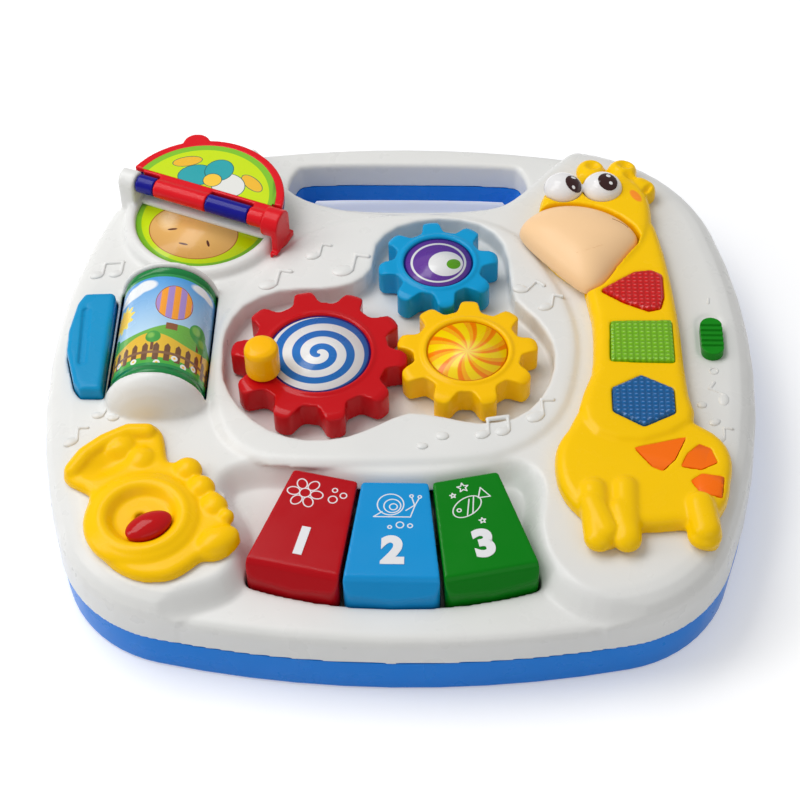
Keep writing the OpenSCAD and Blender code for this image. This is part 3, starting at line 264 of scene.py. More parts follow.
GIRAFFE_SKIN = giraffe_skin()


def key_print(name, color, turn, drawing):
    """A glossy key with a thin white line drawing on its rear half; x to the right, y along the key."""
    paint = Paint(name, color, 0.2, spec=0.16)
    x, y, z = paint.axes(*FAN, turn=math.radians(turn))
    line = None
    for kind, *numbers in drawing:
        mask = paint.hoop(x, y, *numbers) if kind == "hoop" else paint.stroke(x, y, numbers[0:2], numbers[2:4])
        line = mask if line is None else paint.math("MAXIMUM", line, mask)
    line = paint.mul(line, paint.inside(paint.sub(61.0, z)))
    return paint.finish(color=paint.mix(paint.mul(line, 0.92), color, (0.82, 0.82, 0.84)))


def star(cx, cy, r, points=5, depth=0.45, turn=90):
    """The strokes of a star's outline."""
    tips = [(cx + k * math.cos(math.radians(a)), cy + k * math.sin(math.radians(a)))
            for i in range(2 * points) for k, a in [(r * (depth if i % 2 else 1), turn + i * 180 / points)]]
    return [("stroke", *tips[i], *tips[(i + 1) % len(tips)]) for i in range(len(tips))]


# a flower with three small rings, a snail with bubbles, a fish with stars
FLOWER = [("hoop", -7.5, -186, 3.1)] + [
    ("hoop", -7.5 + 6.6 * math.cos(math.radians(a)), -186 + 6.6 * math.sin(math.radians(a)), 3.5, 2.7, math.radians(a))
    for a in range(0, 360, 60)] + [
    ("hoop", 8.5, -187, 2.4), ("hoop", 13.5, -183, 1.8), ("hoop", 8.0, -180.5, 1.4)]
SNAIL = [("hoop", -2, -187, 7.2), ("hoop", -1, -188, 4.6), ("hoop", -0.4, -188.6, 2.1),
         ("stroke", -11, -195.5, 9, -195.5), ("stroke", -11, -195.5, -6.5, -192),
         ("stroke", 9, -195.5, 11.5, -187), ("stroke", 11.5, -187, 6.5, -191),
         ("stroke", 11, -187, 9.5, -182), ("stroke", 11.5, -187, 13.5, -182.5),
         ("hoop", 9.3, -181, 0.9), ("hoop", 13.8, -181.5, 0.9),
         ("hoop", 3.5, -201, 2.0), ("hoop", 9.0, -201.5, 1.3), ("hoop", -2.0, -202.5, 1.0)]
FISH = [("hoop", -3.5, -192, 9.2, 5.6, 0.55), ("hoop", -8.3, -193.6, 1.1),
        ("stroke", 3.8, -187.2, 10.5, -187.5), ("stroke", 3.8, -187.2, 6.4, -180.5),
        ("stroke", 10.5, -187.5, 6.4, -180.5), ("stroke", -4.6, -197.8, -1.4, -187.2),
        ("stroke", -1.4, -197.0, 1.4, -186.0),
        *star(-3.0, -178.5, 3.2), *star(2.6, -203, 1.9), *star(-9.5, -183, 1.7)]
KEY_RED = key_print("red_key_plastic", (0.46, 0.003, 0.008), -13, FLOWER)
KEY_BLUE = key_print("light_blue_key_plastic", (0.008, 0.29, 0.66), 0, SNAIL)
KEY_GREEN = key_print("green_key_plastic", (0.001, 0.20, 0.006), 13, FISH)


def steel():
    paint = Paint("plated_steel", (0.6, 0.6, 0.62), 0.28, 0.0, metal=1.0)
    return paint.finish(grain=1500, depth=0.00003, strength=0.1)


STEEL = steel()


def lamp_glass():
    paint = Paint("lamp_clear", (0.9, 0.9, 0.85), 0.1)
    paint.set("Transmission Weight", 0.8)
    return paint.finish(strength=0)


LAMP = lamp_glass()


def lens_plastic(name, color, center, pitch=(3.5, 2.95)):
    """Coloured translucent plastic with rows of small pyramids below its face, painted shade between the pyramids, a
    painted highlight near the top of each, and a faint painted glow of its own colour.
    """
    paint = Paint(name, color, 0.14, 0.1)
    x, y, _ = paint.axes(GIRAFFE[0] + center[0], GIRAFFE[1] + center[1])
    u = paint.sub(paint.math("FRACT", paint.add(paint.mul(x, 1 / pitch[0]), 100.5)), 0.5)
    v = paint.sub(paint.math("FRACT", paint.add(paint.mul(y, 1 / pitch[1]), 100.5)), 0.5)
    far = paint.math("MAXIMUM", paint.math("ABSOLUTE", u), paint.math("ABSOLUTE", v))
    peak = paint.clip(paint.sub(1, paint.mul(far, 2)))
    # painted highlight: a small light dash near the top of each pyramid
    painted_glint = paint.disc(u, v, 0.0, 0.16, 0.20, 0.11, soft=0.10)
    # painted shade: the colour darkens to 0.55 of itself away from each pyramid's peak
    tone = paint.mix(peak, [c * 0.55 for c in color], color)
    tone = paint.mix(paint.mul(painted_glint, 0.6), tone, [min(1, c * 1.5 + 0.22) for c in color])
    paint.set("Transmission Weight", 0.25)
    # painted glow: the lens gives off a little light of its own colour, though it is no lamp
    paint.set("Emission Color", (*color, 1))
    paint.set("Emission Strength", 0.08)
    paint.finish(color=tone, strength=0, uneven=0.02)
    paint.bump(peak, 0.0009, 0.8)
    return paint.mat


LENS_RED = lens_plastic("lens_red", (0.92, 0.006, 0.008), (13, 41))
LENS_GREEN = lens_plastic("lens_lime", (0.28, 0.72, 0.01), (12, 0))
LENS_BLUE = lens_plastic("lens_blue", (0.003, 0.17, 0.50), (10, -45))


def spiral_disc():
    """White disc with one blue spiral band and a thin navy rim."""
    paint = Paint("spiral_print", (0.86, 0.86, 0.86), 0.28, 0.3)
    x, y, _ = paint.axes(*GEARS["red"])
    r = paint.length(x, y)
    turn = paint.mul(paint.math("ARCTAN2", y, x), 1 / (2 * math.pi))
    pitch = 10.4
    wave = paint.math("FRACT", paint.add(paint.add(paint.mul(r, 1 / pitch), turn), 10.73))
    away = paint.sub(paint.math("ABSOLUTE", paint.sub(wave, 0.5)), 0.235)
    band = paint.inside(paint.mul(away, pitch), 0.15)
    tone = paint.mix(band, (0.86, 0.86, 0.86), (0.012, 0.17, 0.56))
    tone = paint.mix(paint.inside(paint.sub(28.9, r)), tone, (0.02, 0.02, 0.22))
    return paint.finish(color=tone, strength=0.05)


def swirl_disc():
    """Orange disc with ten curved yellow rays."""
    paint = Paint("swirl_print", (1, 0.4, 0), 0.28, 0.3)
    x, y, _ = paint.axes(*GEARS["yellow"])
    r = paint.length(x, y)
    angle = paint.mul(paint.math("ARCTAN2", y, x), 1 / (2 * math.pi))
    bent = paint.sub(angle, paint.mul(r, 0.08 / 23.4))
    wave = paint.math("FRACT", paint.add(paint.mul(bent, 10), 20.35))
    ray = paint.inside(paint.mul(paint.sub(paint.math("ABSOLUTE", paint.sub(wave, 0.5)), 0.24), r), 0.3)
    deep = paint.mix(paint.clip(paint.mul(wave, 1.1)), (1.0, 0.50, 0.01), (1.0, 0.24, 0.0))
    tone = paint.mix(ray, deep, (1.0, 0.73, 0.0))
    pale = paint.clip(paint.sub(1, paint.mul(r, 1 / 9)))
    tone = paint.mix(paint.mul(pale, 0.5), tone, (1.0, 0.85, 0.3))
    tone = paint.mix(paint.inside(paint.sub(22.7, r)), tone, (0.75, 0.22, 0.0))
    return paint.finish(color=tone, strength=0.05)


def ringed_disc():
    """Purple disc with a white ring, an off-centre white spot and a green dot."""
    paint = Paint("ringed_print", (0.12, 0.03, 0.3), 0.28, 0.3)
    x, y, _ = paint.axes(*GEARS["blue"])
    r = paint.length(x, y)
    tone = paint.mix(paint.disc(x, y, 0, 0, 16.8), (0.13, 0.035, 0.32), (0.8, 0.8, 0.8))
    tone = paint.mix(paint.disc(x, y, 0, 0, 15.4), tone, (0.13, 0.035, 0.32))
    tone = paint.mix(paint.disc(x, y, 4.4, -0.8, 10.4), tone, (0.8, 0.8, 0.8))
    tone = paint.mix(paint.disc(x, y, 9.2, -1.0, 4.2), tone, (0.10, 0.36, 0.0))
    tone = paint.mix(paint.inside(paint.sub(19.7, r)), tone, (0.015, 0.01, 0.18))
    return paint.finish(color=tone, strength=0.05)


LIME, GREEN_LINE = (0.60, 0.78, 0.0), (0.22, 0.55, 0.02)


def book_base_print():
    """Lower half of the book's picture: a round tan flower pot on a lime field."""
    paint = Paint("book_base_print", LIME, 0.3, 0.25)
    x, y, _ = paint.axes(*BOOK, turn=BOOK_TURN)
    r = paint.length(x, y)
    tone = paint.mix(paint.inside(paint.sub(38.6, r)), LIME, GREEN_LINE)
    tone = paint.mix(paint.disc(x, y, -1, -12, 28.6, 23.2), tone, (0.42, 0.10, 0.02))
    tan = paint.mix(paint.clip(paint.mul(paint.add(y, 36), 1 / 40)), (0.72, 0.36, 0.08), (0.85, 0.52, 0.17))
    tan = paint.mix(paint.disc(x, y, -20, -8, 5, 8, 0.4, soft=5), tan, (0.95, 0.68, 0.36))
    tone = paint.mix(paint.disc(x, y, -1, -12, 28, 22.6), tone, tan)
    for cx, cy, turn in ((-14, -15, 0.5), (12, -18, -0.9), (-2, -24, 0.1)):
        tone = paint.mix(paint.disc(x, y, cx, cy, 3.0, 0.8, turn), tone, (0.10, 0.02, 0.01))
    return paint.finish(color=tone, strength=0.04)


def page_print(name, field, edge):
    """Page picture: teal and white petals with yellow leaves on a half disc."""
    paint = Paint(name, field, 0.3, 0.25)
    x, y, _ = paint.axes(*BOOK, turn=BOOK_TURN)
    r = paint.length(x, y)
    tone = paint.mix(paint.inside(paint.sub(41.8, r)), field, edge)
    line, leaf, teal, white = (0.02, 0.12, 0.10), (0.9, 0.5, 0.03), (0.02, 0.38, 0.42), (0.8, 0.8, 0.76)
    for cx, cy, rx, ry, turn, fill in ((-22, 25, 9, 4, 0.6, leaf), (24, 22, 9, 4, -0.5, leaf),
                                       (-11, 16, 11.5, 9, 0.5, teal), (11, 15, 11, 9.5, -0.4, white),
                                       (0, 25, 8.5, 9.5, 0.0, teal)):
        tone = paint.mix(paint.disc(x, y, cx, cy, rx + 0.5, ry + 0.5, turn), tone, line)
        tone = paint.mix(paint.disc(x, y, cx, cy, rx, ry, turn), tone, fill)
    tone = paint.mix(paint.disc(x, y, 0, 15.5, 6.0), tone, line)
    tone = paint.mix(paint.disc(x, y, 0, 15.5, 5.5), tone, (0.95, 0.6, 0.05))
    return paint.finish(color=tone, strength=0.04)


def drum_plastic():
    """Dark blue plastic with a green flange at each end of the film."""
    paint = Paint("drum_plastic", (0.006, 0.006, 0.25), 0.2, 0.1)
    y = paint.axes(*DRUM)[1]
    flange = paint.inside(paint.sub(FLANGE_HALF, paint.math("ABSOLUTE", y)))
    return paint.finish(color=paint.mix(flange, (0.006, 0.006, 0.25), (0.01, 0.22, 0.05)))


def roller_print():
    """Film round the roller: sky, hills, a striped balloon, a sun, trees and a fence."""
    paint = Paint("roller_film", (0.3, 0.6, 0.9), 0.26, 0.4)
    x, y, z = paint.axes(*DRUM)
    # s runs round the roller, 0 at the top, positive to the right
    s = paint.mul(paint.math("ARCTAN2", x, z), DRUM_RADIUS)
    tone = paint.mix(paint.clip(paint.mul(paint.add(y, 20), 1 / 55)), (0.60, 0.80, 0.92), (0.06, 0.33, 0.75))
    for cx, cy, rx, ry in ((-20, 26, 9, 5), (-12, 28, 8, 4.5), (-27, 24, 7, 3.5), (24, 31, 7, 3.2), (31, 30, 6, 2.6)):
        tone = paint.mix(paint.disc(s, y, cx, cy, rx, ry, soft=1.2), tone, (0.86, 0.88, 0.90))
    sun = paint.disc(s, y, -27, 8, 6.6, soft=0.4)
    u, v = paint.sub(s, -27), paint.sub(y, 8)
    rays = paint.mul(paint.math("SINE", paint.mul(paint.math("ARCTAN2", v, u), 11)), 1.6)
    tone = paint.mix(paint.inside(paint.sub(paint.sub(paint.length(u, v), 9), rays), 0.3), tone, (0.95, 0.75, 0.10))
    tone = paint.mix(sun, tone, (1.0, 0.62, 0.02))
    hill = paint.add(paint.mul(paint.math("SINE", paint.mul(s, 0.09)), 4), -6)
    tone = paint.mix(paint.inside(paint.sub(y, hill), 0.3), tone, (0.16, 0.46, 0.06))
    hill = paint.add(paint.mul(paint.math("SINE", paint.add(paint.mul(s, 0.13), 2.0)), 3), -14)
    tone = paint.mix(paint.inside(paint.sub(y, hill), 0.3), tone, (0.80, 0.50, 0.04))
    # striped balloon
    stripe = paint.inside(paint.sub(paint.strip(paint.add(s, 40.4), 7.6), 0.25), 0.05)
    stripes = paint.mix(stripe, (0.40, 0.26, 0.62), (0.95, 0.36, 0.03))
    tone = paint.mix(paint.disc(s, y, 8, 14, 11.5, 13.5), tone, (0.35, 0.10, 0.03))
    tone = paint.mix(paint.disc(s, y, 8, 14, 11, 13), tone, stripes)
    tone = paint.mix(paint.block(s, y, 4.6, 11.4, -7.5, -2.5), tone, (0.28, 0.10, 0.04))
    # round trees
    for cx, cy, rad in ((26, -3, 7), (31, -9, 6), (-2, -14, 4.5), (-33, -10, 6)):
        tone = paint.mix(paint.block(s, y, cx - 0.9, cx + 0.9, cy - rad - 6, cy), tone, (0.16, 0.05, 0.02))
        tone = paint.mix(paint.disc(s, y, cx, cy, rad, soft=0.3), tone, (0.05, 0.34, 0.05))
        light = paint.disc(s, y, cx - rad * 0.3, cy + rad * 0.25, rad * 0.45, soft=1.5)
        tone = paint.mix(light, tone, (0.22, 0.52, 0.08))
    # fence and grass
    tone = paint.mix(paint.inside(paint.add(y, 30), 0.3), tone, (0.07, 0.42, 0.05))
    slat = paint.strip(paint.add(s, 100), 6.5)
    post = paint.inside(paint.sub(slat, 0.27), 0.05)
    tip = paint.add(paint.mul(slat, -9), -18.5)
    fence = paint.mul(post, paint.mul(paint.inside(paint.sub(y, tip)), paint.inside(paint.sub(-32, y))))
    tone = paint.mix(fence, tone, (0.17, 0.075, 0.035))
    tone = paint.mix(paint.block(s, y, -60, 60, -27, -25), tone, (0.24, 0.12, 0.06))
    for cx, cy in ((12, -29), (18, -33), (-12, -32), (25, -30), (-24, -29), (2, -34)):
        tone = paint.mix(paint.disc(s, y, cx, cy, 2.0, soft=0.3), tone, (0.85, 0.85, 0.82))
        tone = paint.mix(paint.disc(s, y, cx, cy, 0.8, soft=0.3), tone, (1.0, 0.55, 0.02))
    # green borders
    tone = paint.mix(paint.inside(paint.sub(FILM_HALF, paint.math("ABSOLUTE", y))), tone, (0.02, 0.28, 0.07))
    return paint.finish(color=tone, strength=0.04)


SPIRAL, SWIRL, RINGED = spiral_disc(), swirl_disc(), ringed_disc()
BOOK_BASE = book_base_print()
PAGE_PRINT = page_print("page_print", LIME, GREEN_LINE)
FILM = roller_print()


# ---------------------------------------------------------------- pieces
def finished(name, bm, material, body, smooth=True, sharp=40):
    """A mesh made into an object that rides on a body."""
    mesh = bpy.data.meshes.new(name)
    if smooth:
        for face in bm.faces:
            face.smooth = True
    bm.to_mesh(mesh)
    bm.free()
    if smooth and sharp:
        mesh.set_sharp_from_angle(angle=math.radians(sharp))
    piece = bpy.data.objects.new(name, mesh)
    bpy.context.scene.collection.objects.link(piece)
    piece.data.materials.append(material)
    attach(piece, body)
    return piece


def merged(node):
    """A bmesh of a CAD node with its doubles merged."""
    bm = bmesh.new()
    bm.from_mesh(frame["nodes"][node].data)
    bmesh.ops.remove_doubles(bm, verts=bm.verts, dist=0.000002)
    return bm


BODY_OF = {n: b for b, nodes in frame["record"]["behaviour"]["bodies"].items() for n in nodes}


def applied(piece):
    """The piece's modifiers made part of its mesh."""
    depsgraph = bpy.context.evaluated_depsgraph_get()
    mesh = bpy.data.meshes.new_from_object(piece.evaluated_get(depsgraph))
    piece.modifiers.clear()
    old = piece.data
    piece.data = mesh
    bpy.data.meshes.remove(old)
    return piece


def skin(node, material, sharp=38):
    """The CAD node with smooth shading between its facets."""
    piece = finished(node + "_skin", merged(node), material, BODY_OF[node], sharp=sharp)
    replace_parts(piece, node)
    return piece


def joined(bm, parts):
    """Closed meshes added to a bmesh, to be fused by a remesh."""
    for other in parts:
        mesh = bpy.data.meshes.new("part")
        other.to_mesh(mesh)
        bm.from_mesh(mesh)
        bpy.data.meshes.remove(mesh)
        other.free()
    return bm


def relaxed(piece, voxel, rounds, limit=MOST_TRIANGLES):
    """Fused and rounded: remeshed in cells of voxel millimetres, smoothed, and thinned to limit triangles."""
    grid = piece.modifiers.new("grid", "REMESH")
    grid.mode = "VOXEL"
    grid.voxel_size = voxel * MM
    grid.use_smooth_shade = True
    relax = piece.modifiers.new("relax", "SMOOTH")
    relax.factor = 0.5
    relax.iterations = rounds
    applied(piece)
    count = 2 * len(piece.data.polygons)
    if count > limit:
        thin = piece.modifiers.new("thin", "DECIMATE")
        thin.ratio = limit / count
        applied(piece)
    for face in piece.data.polygons:
        face.use_smooth = True
    return piece


def softened(node, material, voxel=0.8, rounds=6, extra=(), limit=MOST_TRIANGLES):
    """The CAD node with the rounded edges of a moulding, and further forms fused with it."""
    piece = finished(node + "_soft", joined(merged(node), extra), material, BODY_OF[node], sharp=0)
    relaxed(piece, voxel, rounds, limit)
    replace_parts(piece, node)
    return piece


def fused(name, parts, material, body, voxel=0.5, rounds=4):
    """One soft piece out of several closed meshes."""
    return relaxed(finished(name, joined(bmesh.new(), parts), material, body, sharp=0), voxel, rounds)


def ball(center, radii, turn=0.0, fine=16):
    """A closed ellipsoid."""
    bm = bmesh.new()
    bmesh.ops.create_uvsphere(bm, u_segments=2 * fine, v_segments=fine, radius=1)
    bmesh.ops.scale(bm, vec=[r * MM for r in radii], verts=bm.verts)
    bmesh.ops.rotate(bm, cent=(0, 0, 0), matrix=Matrix.Rotation(turn, 3, "Z"), verts=bm.verts)
    bmesh.ops.translate(bm, vec=[c * MM for c in center], verts=bm.verts)
    return bm


def limb(a, b, r, rise=1.0):
    """A rod with round ends, flattened or raised in height by rise."""
    a, b = Vector(a), Vector(b)
    bm = bmesh.new()
    bmesh.ops.create_cone(bm, cap_ends=True, segments=24, radius1=r * MM, radius2=r * MM, depth=(b - a).length * MM)
    bmesh.ops.rotate(bm, cent=(0, 0, 0), matrix=(b - a).to_track_quat("Z", "Y").to_matrix(), verts=bm.verts)
    bmesh.ops.scale(bm, vec=(1, 1, rise), verts=bm.verts)
    bmesh.ops.translate(bm, vec=(a + b) / 2 * MM, verts=bm.verts)
    return [bm, ball(a, (r, r, r * rise)), ball(b, (r, r, r * rise))]


def rope(points, r, rise=1.0):
    """Rods with round ends through a row of points."""
    return [part for a, b in zip(points, points[1:]) for part in limb(a, b, r, rise)]


def hoop(center, radius, r, rise=1.0):
    """A closed ring lying flat."""
    bm = bmesh.new()
    made = bmesh.ops.create_circle(bm, segments=20, radius=r * MM)
    bmesh.ops.rotate(bm, cent=(0, 0, 0), matrix=Matrix.Rotation(math.pi / 2, 3, "X"), verts=bm.verts)
    bmesh.ops.scale(bm, vec=(1, 1, rise), verts=bm.verts)
    bmesh.ops.translate(bm, vec=(radius * MM, 0, 0), verts=made["verts"])
    bmesh.ops.spin(bm, geom=list(bm.verts) + list(bm.edges), cent=(0, 0, 0), axis=(0, 0, 1), angle=2 * math.pi,
                   steps=72, use_merge=True)
    bmesh.ops.remove_doubles(bm, verts=bm.verts, dist=0.000001)
    bmesh.ops.recalc_face_normals(bm, faces=bm.faces)
    bmesh.ops.translate(bm, vec=[c * MM for c in center], verts=bm.verts)
    return bm


def pressed(piece, center, radii, depth, turn=0.0, above=0.0):
    """The surface pushed down in an ellipse, or up where depth is below 0."""
    c, s = math.cos(turn), math.sin(turn)
    for v in piece.data.vertices:
        x, y = v.co.x / MM - center[0], v.co.y / MM - center[1]
        q = ((x * c + y * s) / radii[0]) ** 2 + ((y * c - x * s) / radii[1]) ** 2
        if q < 1 and v.co.z > above * MM:
            v.co.z -= depth * MM * (1 - q) ** 2


def grooved(piece, a, b, half, depth, above, soft=0.6):
    """A groove with round ends and soft walls."""
    a, d = Vector(a), Vector(b) - Vector(a)
    for v in piece.data.vertices:
        p = Vector((v.co.x, v.co.y)) / MM - a
        t = min(1, max(0, p.dot(d) / d.length_squared))
        away = (p - d * t).length - half
        if away < soft and v.co.z > above * MM:
            v.co.z -= depth * MM * (1 if away < -soft else 0.5 - 0.5 * math.sin(away / soft * math.pi / 2))


# casings
softened("top_shell", WHITE, 1.2, 4)
base = skin("base_shell", BLUE, 34)
base.modifiers.new("even", "WEIGHTED_NORMAL").keep_sharp = True
applied(base)

# plain hidden pieces and fasteners
for node, material in {
        "case_screws": STEEL, "door_screw": STEEL, "gear_screws": STEEL, "board_screws": STEEL, "roller_axle": STEEL,
        "hinge_rod": STEEL, "battery_contacts": STEEL, "batteries": BLACK, "speaker": BLACK, "power_switch": BLACK,
        "main_board": BOARD, "key_board": BOARD, "lamps": LAMP, "key_frame": FRAME, "paddle_dome": RUBBER,
        "key_dome_1": RUBBER, "key_dome_2": RUBBER, "key_dome_3": RUBBER, "lens_dome_red": RUBBER,
        "lens_dome_green": RUBBER, "lens_dome_blue": RUBBER}.items():
    skin(node, material)
skin("battery_door", BLUE)


def quaver(x, y, z, size=1.0, turn=0.0):
    """An embossed note: oval head, stem and flag."""
    c, s = math.cos(turn) * size, math.sin(turn) * size
    at = lambda u, v: (x + u * c - v * s, y + u * s + v * c, z)
    return [ball((x, y, z), (6.6 * size, 4.6 * size, 1.5), turn + 0.25),
            *limb(at(5.6, 0.5), at(7.4, 14), 1.25 * size, 0.9 / size),
            *limb(at(7.4, 14), at(15, 12.5), 1.6 * size, 0.8 / size)]


def beamed(x, y, z, size=1.0, turn=0.0):
    """Two embossed notes under one beam."""
    c, s = math.cos(turn) * size, math.sin(turn) * size
    at = lambda u, v: (x + u * c - v * s, y + u * s + v * c, z)
    return [*(ball(at(u, v), (5.0 * size, 3.6 * size, 1.4), turn + 0.25) for u, v in ((-7, 0), (6, 1.5))),
            *limb(at(-2.8, 0.4), at(-2.2, 12), 1.1 * size, 0.9 / size),
            *limb(at(10.2, 2), at(10.6, 13), 1.1 * size, 0.9 / size),
            *limb(at(-2.2, 12), at(10.6, 13.2), 1.6 * size, 0.8 / size)]


# raised marks on the casing
ISLE = ISLAND + 0.1
NOTES = {
    "notes_rear_left": quaver(-81.5, 52.3, ISLE, 0.9) + quaver(-55.8, 77.3, ISLE, 0.72)
    + quaver(-36.9, 64.7, ISLE, 1.0),
    "notes_right": quaver(70.1, 50.8, ISLE, 0.75, -0.5) + quaver(84.8, 36.1, ISLE, 0.7),
    "notes_front": quaver(77.7, -50.1, ISLE, 0.85, 0.2) + beamed(54, -63, ISLE, 0.9, 0.1)
    + [ball((25.3, -65.0, ISLE), (4.0, 3.2, 1.3)), ball((14.2, -72.5, ISLE), (3.4, 2.6, 1.2))],
    "notes_left": beamed(-180.3, 61.6, DECK + 0.1, 0.86, 0.0),
    "notes_low_left": quaver(-184.5, -70.4, DECK - 0.2, 0.7, 0.2)
    + beamed(-167, -52, DECK + 0.1, 0.7, -0.3),
    "notes_low_right": quaver(180.5, -63.4, DECK - 0.3, 0.6, 0.1)
    + quaver(185.5, -33.6, DECK - 0.4, 0.72, 1.2)
    + [ball((172.8, -37.6, DECK), (3.0, 2.6, 1.3)), ball((179.2, -50.5, DECK), (3.6, 2.6, 1.3), 0.5)],
    "switch_mark_on": limb((181.9, 42.6, DECK), (182.3, 46.8, DECK), 0.8, 0.8),
    "switch_mark_off": [hoop((181.4, -11.4, DECK), 2.3, 0.7, 0.8)],
}
for name, parts in NOTES.items():
    fused(name, parts, WHITE, "casing", 0.45, 4)

# gears, each with a soft lip round its disc
softened("red_gear", RED, 0.75, 5, [hoop((*GEARS["red"], 65.6), 31.8, 1.5, 0.8)])
softened("yellow_gear", YELLOW, 0.7, 5, [hoop((*GEARS["yellow"], 65.6), 25.4, 1.7, 0.9)])
softened("blue_gear", SKY, 0.7, 5, [hoop((*GEARS["blue"], 65.6), 22.6, 1.7, 0.9)])
skin("red_disc", SPIRAL)
skin("yellow_disc", SWIRL)
skin("blue_disc", RINGED)
softened("crank_knob", ORANGE_YELLOW, 0.5, 14)


def key(node, material):
    """A key with well rounded edges; its height is given back for the number on it."""
    piece = softened(node, material, 0.6, 14)
    return max(v.co.z for v in piece.data.vertices)


def number(text, body, turn, top, size=24):
    """A plain printed number on a key, in millimetres, at a height in metres."""
    data = bpy.data.curves.new("number_" + text, "FONT")
    data.body = text
    data.align_x = data.align_y = "CENTER"
    data.size = size * MM
    data.offset = 1.3 * MM
    data.extrude = 0.3 * MM
    data.resolution_u = 16
    shape = bpy.data.objects.new("shape", data)
    bpy.context.scene.collection.objects.link(shape)
    mesh = bpy.data.meshes.new_from_object(shape.evaluated_get(bpy.context.evaluated_depsgraph_get()))
    bpy.data.objects.remove(shape)
    place = (Matrix.Translation((FAN[0] * MM, FAN[1] * MM, top)) @ Matrix.Rotation(math.radians(turn), 4, "Z")
             @ Matrix.Translation((0, -NUMBER_REACH * MM, 0)))
    bm = bmesh.new()
    bm.from_mesh(mesh)
    bpy.data.meshes.remove(mesh)
    bmesh.ops.transform(bm, matrix=place, verts=bm.verts)
    finished("number_" + text, bm, PRINT, body, smooth=False)


for node, material, body, turn in (("key_1", KEY_RED, "left_key", -13), ("key_2", KEY_BLUE, "middle_key", 0),
                                   ("key_3", KEY_GREEN, "right_key", 13)):
    number(node[-1], body, turn, key(node, material))

# roller and paddle
skin("roller", drum_plastic())
skin("roller_cap", NAVY)
skin("roller_label", FILM)
grooved(softened("paddle", PADDLE, 0.7, 14), (-186.6, 24.5), (-183.8, -15.5), 2.4, 1.1, 64)

# book
softened("red_page", PAGE_RED, 0.6, 4)
softened("blue_page", NAVY, 0.6, 4)
skin("red_page_pictures", PAGE_PRINT)
skin("blue_page_pictures", PAGE_PRINT)
softened("page_bracket", PAGE_RED, 0.6, 6)
skin("base_picture", BOOK_BASE)


def on_hinge(x, y, z):
    """A place beside the hinge, in the table's frame."""
    c, s = math.cos(BOOK_TURN), math.sin(BOOK_TURN)
    return BOOK[0] + x * c - y * s, BOOK[1] + x * s + y * c, z


fused("book_ledge", rope([on_hinge(x, 1.5, 62.4) for x in (-40, 0, 40)], 4.0, 0.62),
      WHITE, "casing")

# horn: a rolled bell, a thick ring, three valve tops and a mouthpiece
horn = softened("horn_body", SUN, 0.8, 16, rope(
    [(-178.5, -95, 62.5), (-173, -84.5, 63), (-163.5, -75.5, 63.2), (-151, -68, 63.4), (-140.5, -67.5, 63.2)], 5.6)
    + [hoop((-136.5, -128.5, 61.8), 24.2, 8.4, 0.66),
       ball((-114.8, -93.5, 62.5), (8.4, 7.6, 6.4), -0.7), ball((-106.2, -106, 62.5), (8.2, 7.4, 6.4), -0.8),
       ball((-98.2, -118.6, 62), (8.4, 7.6, 6.4), -0.9), ball((-94.5, -142.0, 62.0), (13.0, 8.6, 6.0), 0.6)])
pressed(horn, (-160, -92), (17, 9), 2.6, 0.55, 60)
softened("horn_slider", SLIDER_RED, 0.4, 6, [ball((-131.9, -135.8, 66.8), (13.6, 8.2, 4.6), math.radians(32))])

# giraffe
giraffe = softened("giraffe_body", GIRAFFE_SKIN, 0.85, 10, [
    *limb((108.6, -107, 64.6), (110.8, -138, 64.2), 8.6, 0.78),
    *limb((126.0, -105, 64.6), (125.6, -138.5, 64.2), 8.2, 0.8),
    *limb((166.4, -117, 63.2), (167.4, -134, 62.6), 9.6, 0.62), ball((115, 149, 65), (9.2, 8.8, 7)),
    ball((134.5, 148.5, 65), (9.4, 9.2, 7.4)), ball((145.5, 135.5, 64.5), (8.2, 6.6, 6.4), -0.7)])
pressed(giraffe, (116.2, 149.6), (6.2, 5.6), 3.0, 0, 62)
pressed(giraffe, (136.4, 150.4), (6.6, 5.6), 3.4, 0, 62)
pressed(giraffe, (138.6, 140.6), (5.2, 4.2), 2.4, -0.6, 62)
pressed(giraffe, (149.2, 129.6), (6.0, 2.4), 2.6, 0.9, 60)
softened("giraffe_muzzle", PEACH, 1.1, 80)
EYES = {"left": ((97.2, 127.4, 71.0), (12.0, 11.4, 9.0)), "right": ((121.4, 127.6, 71.4), (12.2, 11.6, 9.2))}
PUPILS = {"left": (103.3, 125.2, 5.0, 5.6), "right": (124.2, 125.6, 6.0, 6.4)}
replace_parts(fused("giraffe_eyes_soft", [ball(*EYES[side]) for side in EYES], EYE, "casing", 0.5, 2),
            "giraffe_eyes")


def pupils():
    """Thin domed caps on the eyes."""
    whole = bmesh.new()
    for side in EYES:
        center, radii = EYES[side]
        x, y, rx, ry = PUPILS[side]
        bm = bmesh.new()
        bmesh.ops.create_icosphere(bm, subdivisions=6, radius=1)
        bmesh.ops.scale(bm, vec=[(r + 0.15) * MM for r in radii], verts=bm.verts)
        bmesh.ops.translate(bm, vec=[c * MM for c in center], verts=bm.verts)
        off = [f for f in bm.faces if f.normal.z < 0.1 or
               ((f.calc_center_median().x / MM - x) / rx) ** 2 + ((f.calc_center_median().y / MM - y) / ry) ** 2 > 1]
        bmesh.ops.delete(bm, geom=off, context="FACES")
        bmesh.ops.solidify(bm, geom=bm.faces, thickness=0.3 * MM)
        joined(whole, [bm])
    piece = finished("giraffe_pupils_soft", whole, PUPIL, "casing")
    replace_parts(piece, "giraffe_pupils")


pupils()


